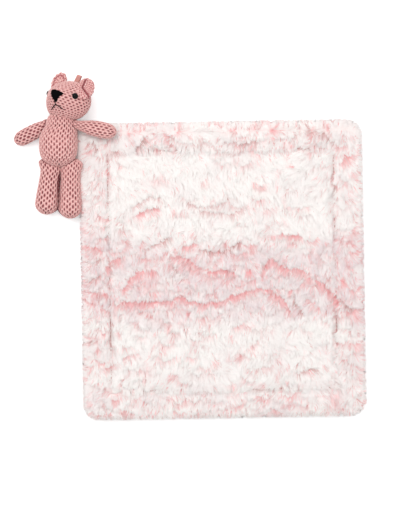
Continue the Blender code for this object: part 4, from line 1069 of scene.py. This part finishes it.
def strands(x, y, rose, dark, fringe):
    """Here and there a strand of the front shows its rose root, or a white one crosses the rose."""
    _, _, strand = nearest_clump(x, y, 0.0021, 43)
    draw = np.random.default_rng(44).random((strand.max() + 1, 2))[strand]
    often = 0.05 + 0.06 * mid_band(x, y) + 0.09 * border_share(x, y) + 0.05 * mask_rose(y, x)
    often = often + 0.25 * np.clip(rose, 0.0, 0.6)
    stroke = smoothstep(1.0 - often, 1.03 - 0.7 * often, draw[:, 0])
    rose = np.clip(np.maximum(rose, 0.80 * stroke) - 0.50 * smoothstep(0.78, 0.92, draw[:, 1]), 0.0, 1.0)
    dark = np.maximum(dark, 0.30 * stroke * smoothstep(0.3, 0.6, draw[:, 1]))
    if fringe:
        # Along the foot the fringe gets streaks of painted shade
        foot_painted_shade = smoothstep(-HALF_Y + 0.025, -HALF_Y + 0.008, y)
        dark = np.maximum(dark, 0.50 * smoothstep(0.62, 0.72, draw[:, 1]) * foot_painted_shade)
    return rose, dark


def spines(front, x, y, way, gather_to, long, high, curl, height):
    """The middle line of every lock: it rises, leans forward and gathers towards its clump's middle."""
    (flow_x, flow_y), (to_x, to_y) = way, gather_to
    rows = []
    for step in LOCK_STEPS:
        forward = long * (0.62 * step + 0.38 * step ** 2)
        rise = ROOT_LIFT + high * (1.0 - (1.0 - step) ** 2.2)
        gather = 0.62 * step ** 1.5
        px = x + flow_x * forward + to_x * gather - flow_y * curl * step ** 2
        py = y + flow_y * forward + to_y * gather + flow_x * curl * step ** 2
        past_edge = np.maximum(-inset_of(px, py), 0.0)
        if front:
            ground = front_base(px, py, height if step < 0.5 else field_height(px, py))
            over = np.maximum(ground - (0.45 - 0.40 * by_the_bear(px, py)) * past_edge, 0.0)
        else:
            ground, over = back_base(px, py), PANEL - 0.8 * past_edge
        ground = np.where(past_edge > 0.0, over, ground)
        rows.append(xyz(px, py, ground + rise if front else ground - rise))
    return np.stack(rows, axis=1)


def soft_normals(front, x, y, edge, out_x, out_y, face):
    """Soft pile is lit as one surface, so each lock leans its normals to those of the pile's surface."""
    reach = 0.0006
    steep, outer = (0.4 / (2.0 * reach), 0.35) if front else (0.0, 2.0)
    slope_x = field_height(x + reach, y) - field_height(x - reach, y)
    slope_y = field_height(x, y + reach) - field_height(x, y - reach)
    soft = xyz(outer * edge * out_x - steep * slope_x, outer * edge * out_y - steep * slope_y,
               1.0 if front else -1.0)
    normals = unit(SOFTNESS * unit(soft)[:, None] + (1.0 - SOFTNESS) * face)
    return np.repeat(normals, 2, axis=1).reshape(-1, 3) @ np.array(BLANKET.to_3x3()).T


def lock_pieces(name, points, normals, pile, lock):
    """Makes the locks, each a strip of points in pairs, into pieces of the same number of locks."""
    each = 2 * len(LOCK_STEPS)
    strip = np.array([[0, 1, 3, 2], [2, 3, 5, 4], [4, 5, 7, 6]])
    made = []
    for number, start in enumerate(range(0, len(points), each * LOCKS_PER_PIECE)):
        part = slice(start, start + each * LOCKS_PER_PIECE)
        first = np.arange(0, len(points[part]), each)[:, None, None]
        obj = make_mesh(f"{name}_{number + 1}", points[part], first + strip, normals=normals[part],
                        pile=pile[part], lock=lock[part])
        made.append(dress(obj, fur, "blanket", ()))
    return made


def locks(name, front, spacing, length, width, lift, fringe=False):
    """The pile: tapering strips that rise from the backing, lean along its way and gather in clumps."""
    x, y = jittered(spacing, 0.0 if fringe else 0.0008)
    if fringe:
        near = inset_of(x, y) < FRINGE
        x, y = x[near], y[near]
    height, flow_x, flow_y, rose, dark, lilac, lip = (pile_field if front else back_field)(x, y)
    if front:
        rose, dark = strands(x, y, rose, dark, fringe)
    inset = inset_of(x, y)
    out_x, out_y = outward_way(x, y)
    edge = smoothstep(0.016, 0.002, inset)
    flow_x, flow_y = flow_x * (1.0 - edge) + out_x * edge * 1.4, flow_y * (1.0 - edge) + out_y * edge * 1.4
    mx, my, clump = nearest_clump(x, y, CLUMP, 41)
    bias = np.random.default_rng(42).random((clump.max() + 1, 4))[clump]
    flow_x, flow_y = turned(flow_x, flow_y, 0.55 * (bias[:, 0] - 0.5) + rng.normal(0.0, 0.13, x.shape))
    size = np.hypot(flow_x, flow_y)
    flow_x, flow_y = flow_x / size, flow_y / size
    long = length * rng.uniform(0.75, 1.2, x.shape) * (0.85 + 0.3 * bias[:, 1])
    high = lift * rng.uniform(0.55, 1.25, x.shape) * (0.75 + 0.5 * bias[:, 2]) * (1.0 - 0.35 * edge)
    if front:
        under = bell(inset - CHANNEL_INSET, 0.005)
        high, long = high * (1.0 - 0.35 * under), long * (1.0 - 0.2 * under)
    to_x, to_y = mx - x, my - y
    along = to_x * flow_x + to_y * flow_y
    to_x, to_y = to_x - along * flow_x, to_y - along * flow_y
    # Above a ridge the tips end at its lip, so that the rose below it shows
    long = np.minimum(long, lip + rng.uniform(0.0004, 0.0032, x.shape))
    beside = by_the_bear(x, y) if front else 0.0
    long = long * (1.0 + 0.5 * beside)
    # No lock hangs far off the edge
    off = rng.uniform(0.0015, 0.0050, x.shape) + 0.0085 * beside
    facing = np.clip(flow_x * out_x + flow_y * out_y, 0.3, 1.0)
    long = np.minimum(long, (np.maximum(inset, 0.0) + off) / facing)
    high = high * np.clip(long / (0.6 * length), 0.45, 1.0)
    curl = rng.normal(0.0, 0.0011, x.shape)
    middle = spines(front, x, y, (flow_x, flow_y), (to_x, to_y), long, high, curl, height)
    up = 1.0 if front else -1.0
    tangent = unit(np.gradient(middle, axis=1))
    side = unit(np.cross(tangent, [0.0, 0.0, up]))
    roll = rng.normal(0.0, 0.25, x.shape)[:, None, None]
    side = side * np.cos(roll) + np.cross(tangent, side) * np.sin(roll)
    half = 0.5 * width * rng.uniform(0.7, 1.3, x.shape)[:, None, None] * LOCK_TAPER[None, :, None]
    points = np.stack([middle - side * half, middle + side * half], axis=2).reshape(-1, 3)
    face = np.cross(side, tangent)
    face = face * np.sign(face[..., 2:3] * up + 1e-9)
    normals = soft_normals(front, x, y, edge, out_x, out_y, face)
    own = np.clip(0.55 + 0.22 * rng.normal(0.0, 1.0, len(x)) + 0.5 * (bias[:, 3] - 0.5), 0.0, 1.0)
    # Rose and dark fade towards the tips
    pile = xyz(rose[:, None] * (1.0 - 0.55 * LOCK_STEPS), dark[:, None] * (1.0 - 0.5 * LOCK_STEPS),
               lilac[:, None])
    lock = xyz(LOCK_STEPS[None, :], own[:, None], 0.0)
    pile, lock = (np.repeat(values, 2, axis=1).reshape(-1, 3) for values in (pile, lock))
    return lock_pieces(name, on_floor(moved(points, BLANKET)), normals, pile, lock)


front_sheet = panel_sheet("front_backing", True, "blanket_front_panel")
back_sheet = panel_sheet("back_backing", False, "blanket_back_panel")
front_locks = locks("front_pile", True, spacing=0.00104, length=0.0118, width=0.00078, lift=0.0018)
front_locks += locks("front_fringe", True, spacing=0.0009, length=0.0090, width=0.00075, lift=0.0030,
                     fringe=True)
back_locks = locks("back_pile", False, spacing=0.0021, length=0.0110, width=0.0012, lift=0.0030)
back_locks += locks("back_fringe", False, spacing=0.0010, length=0.0085, width=0.00075, lift=0.0015,
                    fringe=True)


def outline_points(inset, spacing):
    """Points round the blanket at an inset, evenly spaced, and how far round each one lies."""
    width, length = HALF_X - inset, HALF_Y - inset
    corner = max(BLANKET_CORNER * (1.0 - inset / HALF_X), 0.004)
    points = []
    for index, (sx, sy) in enumerate(((1, 1), (-1, 1), (-1, -1), (1, -1))):
        turn = np.linspace(index * math.pi / 2.0, (index + 1) * math.pi / 2.0, 12)
        points.append(np.stack([sx * (width - corner) + corner * np.cos(turn),
                                sy * (length - corner) + corner * np.sin(turn)], axis=-1))
    points = np.concatenate(points + [points[0][:1]])
    reach = way_along(points)
    at = np.arange(0.0, reach[-1], spacing)
    return np.interp(at, reach, points[:, 0]), np.interp(at, reach, points[:, 1]), at


def blanket_thread(name, x, y, z, node_name):
    line = moved(xyz(x, y, z), BLANKET)
    twisted(name, line, 0.0006, thread_pink, "blanket", (node_name,),
            turns_per_metre=300.0, sides=5)


def topstitch():
    """The topstitching: thread that dips through the fur every few millimetres, down in its groove."""
    x, y, way = outline_points(CHANNEL_INSET, 0.0008)
    z = front_base(x, y, field_height(x, y)) + 0.0005 * np.cos(2.0 * math.pi * way / 0.0045)
    blanket_thread("topstitch", x, y, z, "topstitch_thread")


def edge_seam():
    """The seam that joins the two panels: thread whipped over their edge."""
    x, y, way = outline_points(-0.0005, 0.0010)
    nx, ny = outward_way(x, y)
    swing = 2.0 * math.pi * way / 0.0050
    out = 0.0005 * np.sin(swing)
    z = PANEL + 0.0007 * np.cos(swing)
    blanket_thread("edge_seam", x + nx * out, y + ny * out, z, "edge_seam_thread")


def tack():
    """The bar of thread that holds the left hand to the blanket's corner."""
    low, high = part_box("corner_tack")
    line = xyz((low[0] + high[0]) / 2.0, (low[1] + high[1]) / 2.0, np.linspace(low[2], high[2], 40))
    twisted("tack_thread", line, 0.0011, thread_pink, "blanket", ("corner_tack",),
            turns_per_metre=260.0, plies=3)


topstitch()
edge_seam()
tack()


# Washers stay inside the head; they take a finish that suits them
for side in ("left", "right"):
    plastic = plain_material(side + "_washer", (0.78, 0.78, 0.76), (0.70, 0.70, 0.69), 400.0,
                             roughness=0.4, height=0.0001)
    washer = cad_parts[side + "_eye_washer"]
    washer.data.materials.clear()
    washer.data.materials.append(plastic)


# Floor, light and camera


def white_to_the_eye(tree, plain, white, output):
    """Shows the white shader to the camera and in glossy and clear things, else the plain one."""
    path = add(tree, "LightPath")
    eye = path["Is Camera Ray"]
    for ray in ("Is Glossy Ray", "Is Transmission Ray"):
        eye = add(tree, "Math", {0: eye, 1: path[ray]}, operation="MAXIMUM")[0]
    tree.links.new(add(tree, "MixShader", {0: eye, 1: plain, 2: white})[0], output.inputs["Surface"])


def floor():
    size, level = 6.0, -0.0001
    points = [(-size, -size, level), (size, -size, level), (size, size, level), (-size, size, level)]
    obj = make_mesh("floor", points, [(0, 1, 2, 3)], smooth=False)
    made, tree, shader = new_material("pale_floor", 0.9)
    shader.inputs["Base Color"].default_value = (0.80, 0.80, 0.80, 1.0)
    seen = add(tree, "BsdfDiffuse", {"Color": WHITE})[0]
    glow = add(tree, "Emission", {"Color": WHITE, "Strength": FLOOR_GLOW})[0]
    both = add(tree, "AddShader", {0: seen, 1: glow})[0]
    white_to_the_eye(tree, shader.outputs[0], both, tree.nodes["Material Output"])
    obj.data.materials.append(made)


def lamp(name, location, size, power):
    light = bpy.data.lights.new(name, "AREA")
    light.shape = "SQUARE"
    light.size = size
    light.energy = power
    obj = bpy.data.objects.new(name, light)
    obj.location = location
    obj.rotation_euler = (-Vector(location)).to_track_quat("-Z", "Y").to_euler()
    bpy.context.scene.collection.objects.link(obj)


def studio():
    world = bpy.data.worlds.new("studio")
    world.use_nodes = True
    tree = world.node_tree
    sky = tree.nodes["Background"]
    sky.inputs["Color"].default_value = WHITE
    sky.inputs["Strength"].default_value = SKY_LEVEL
    # A white wall shows where the floor ends
    wall = add(tree, "Background", {"Color": WHITE, "Strength": 1.0})[0]
    white_to_the_eye(tree, sky.outputs[0], wall, tree.nodes["World Output"])
    bpy.context.scene.world = world
    lamp("key", (-0.60, 0.70, 1.8), size=1.2, power=15.0)
    lamp("fill", (1.0, 0.2, 1.6), size=1.3, power=4.0)


def camera():
    data = bpy.data.cameras.new("camera")
    data.lens, data.sensor_width = CAMERA_LENS, CAMERA_SENSOR
    obj = bpy.data.objects.new("camera", data)
    obj.location = CAMERA_PLACE
    bpy.context.scene.collection.objects.link(obj)
    bpy.context.scene.camera = obj


floor()
studio()
camera()
bpy.context.scene.view_settings.view_transform = "Standard"
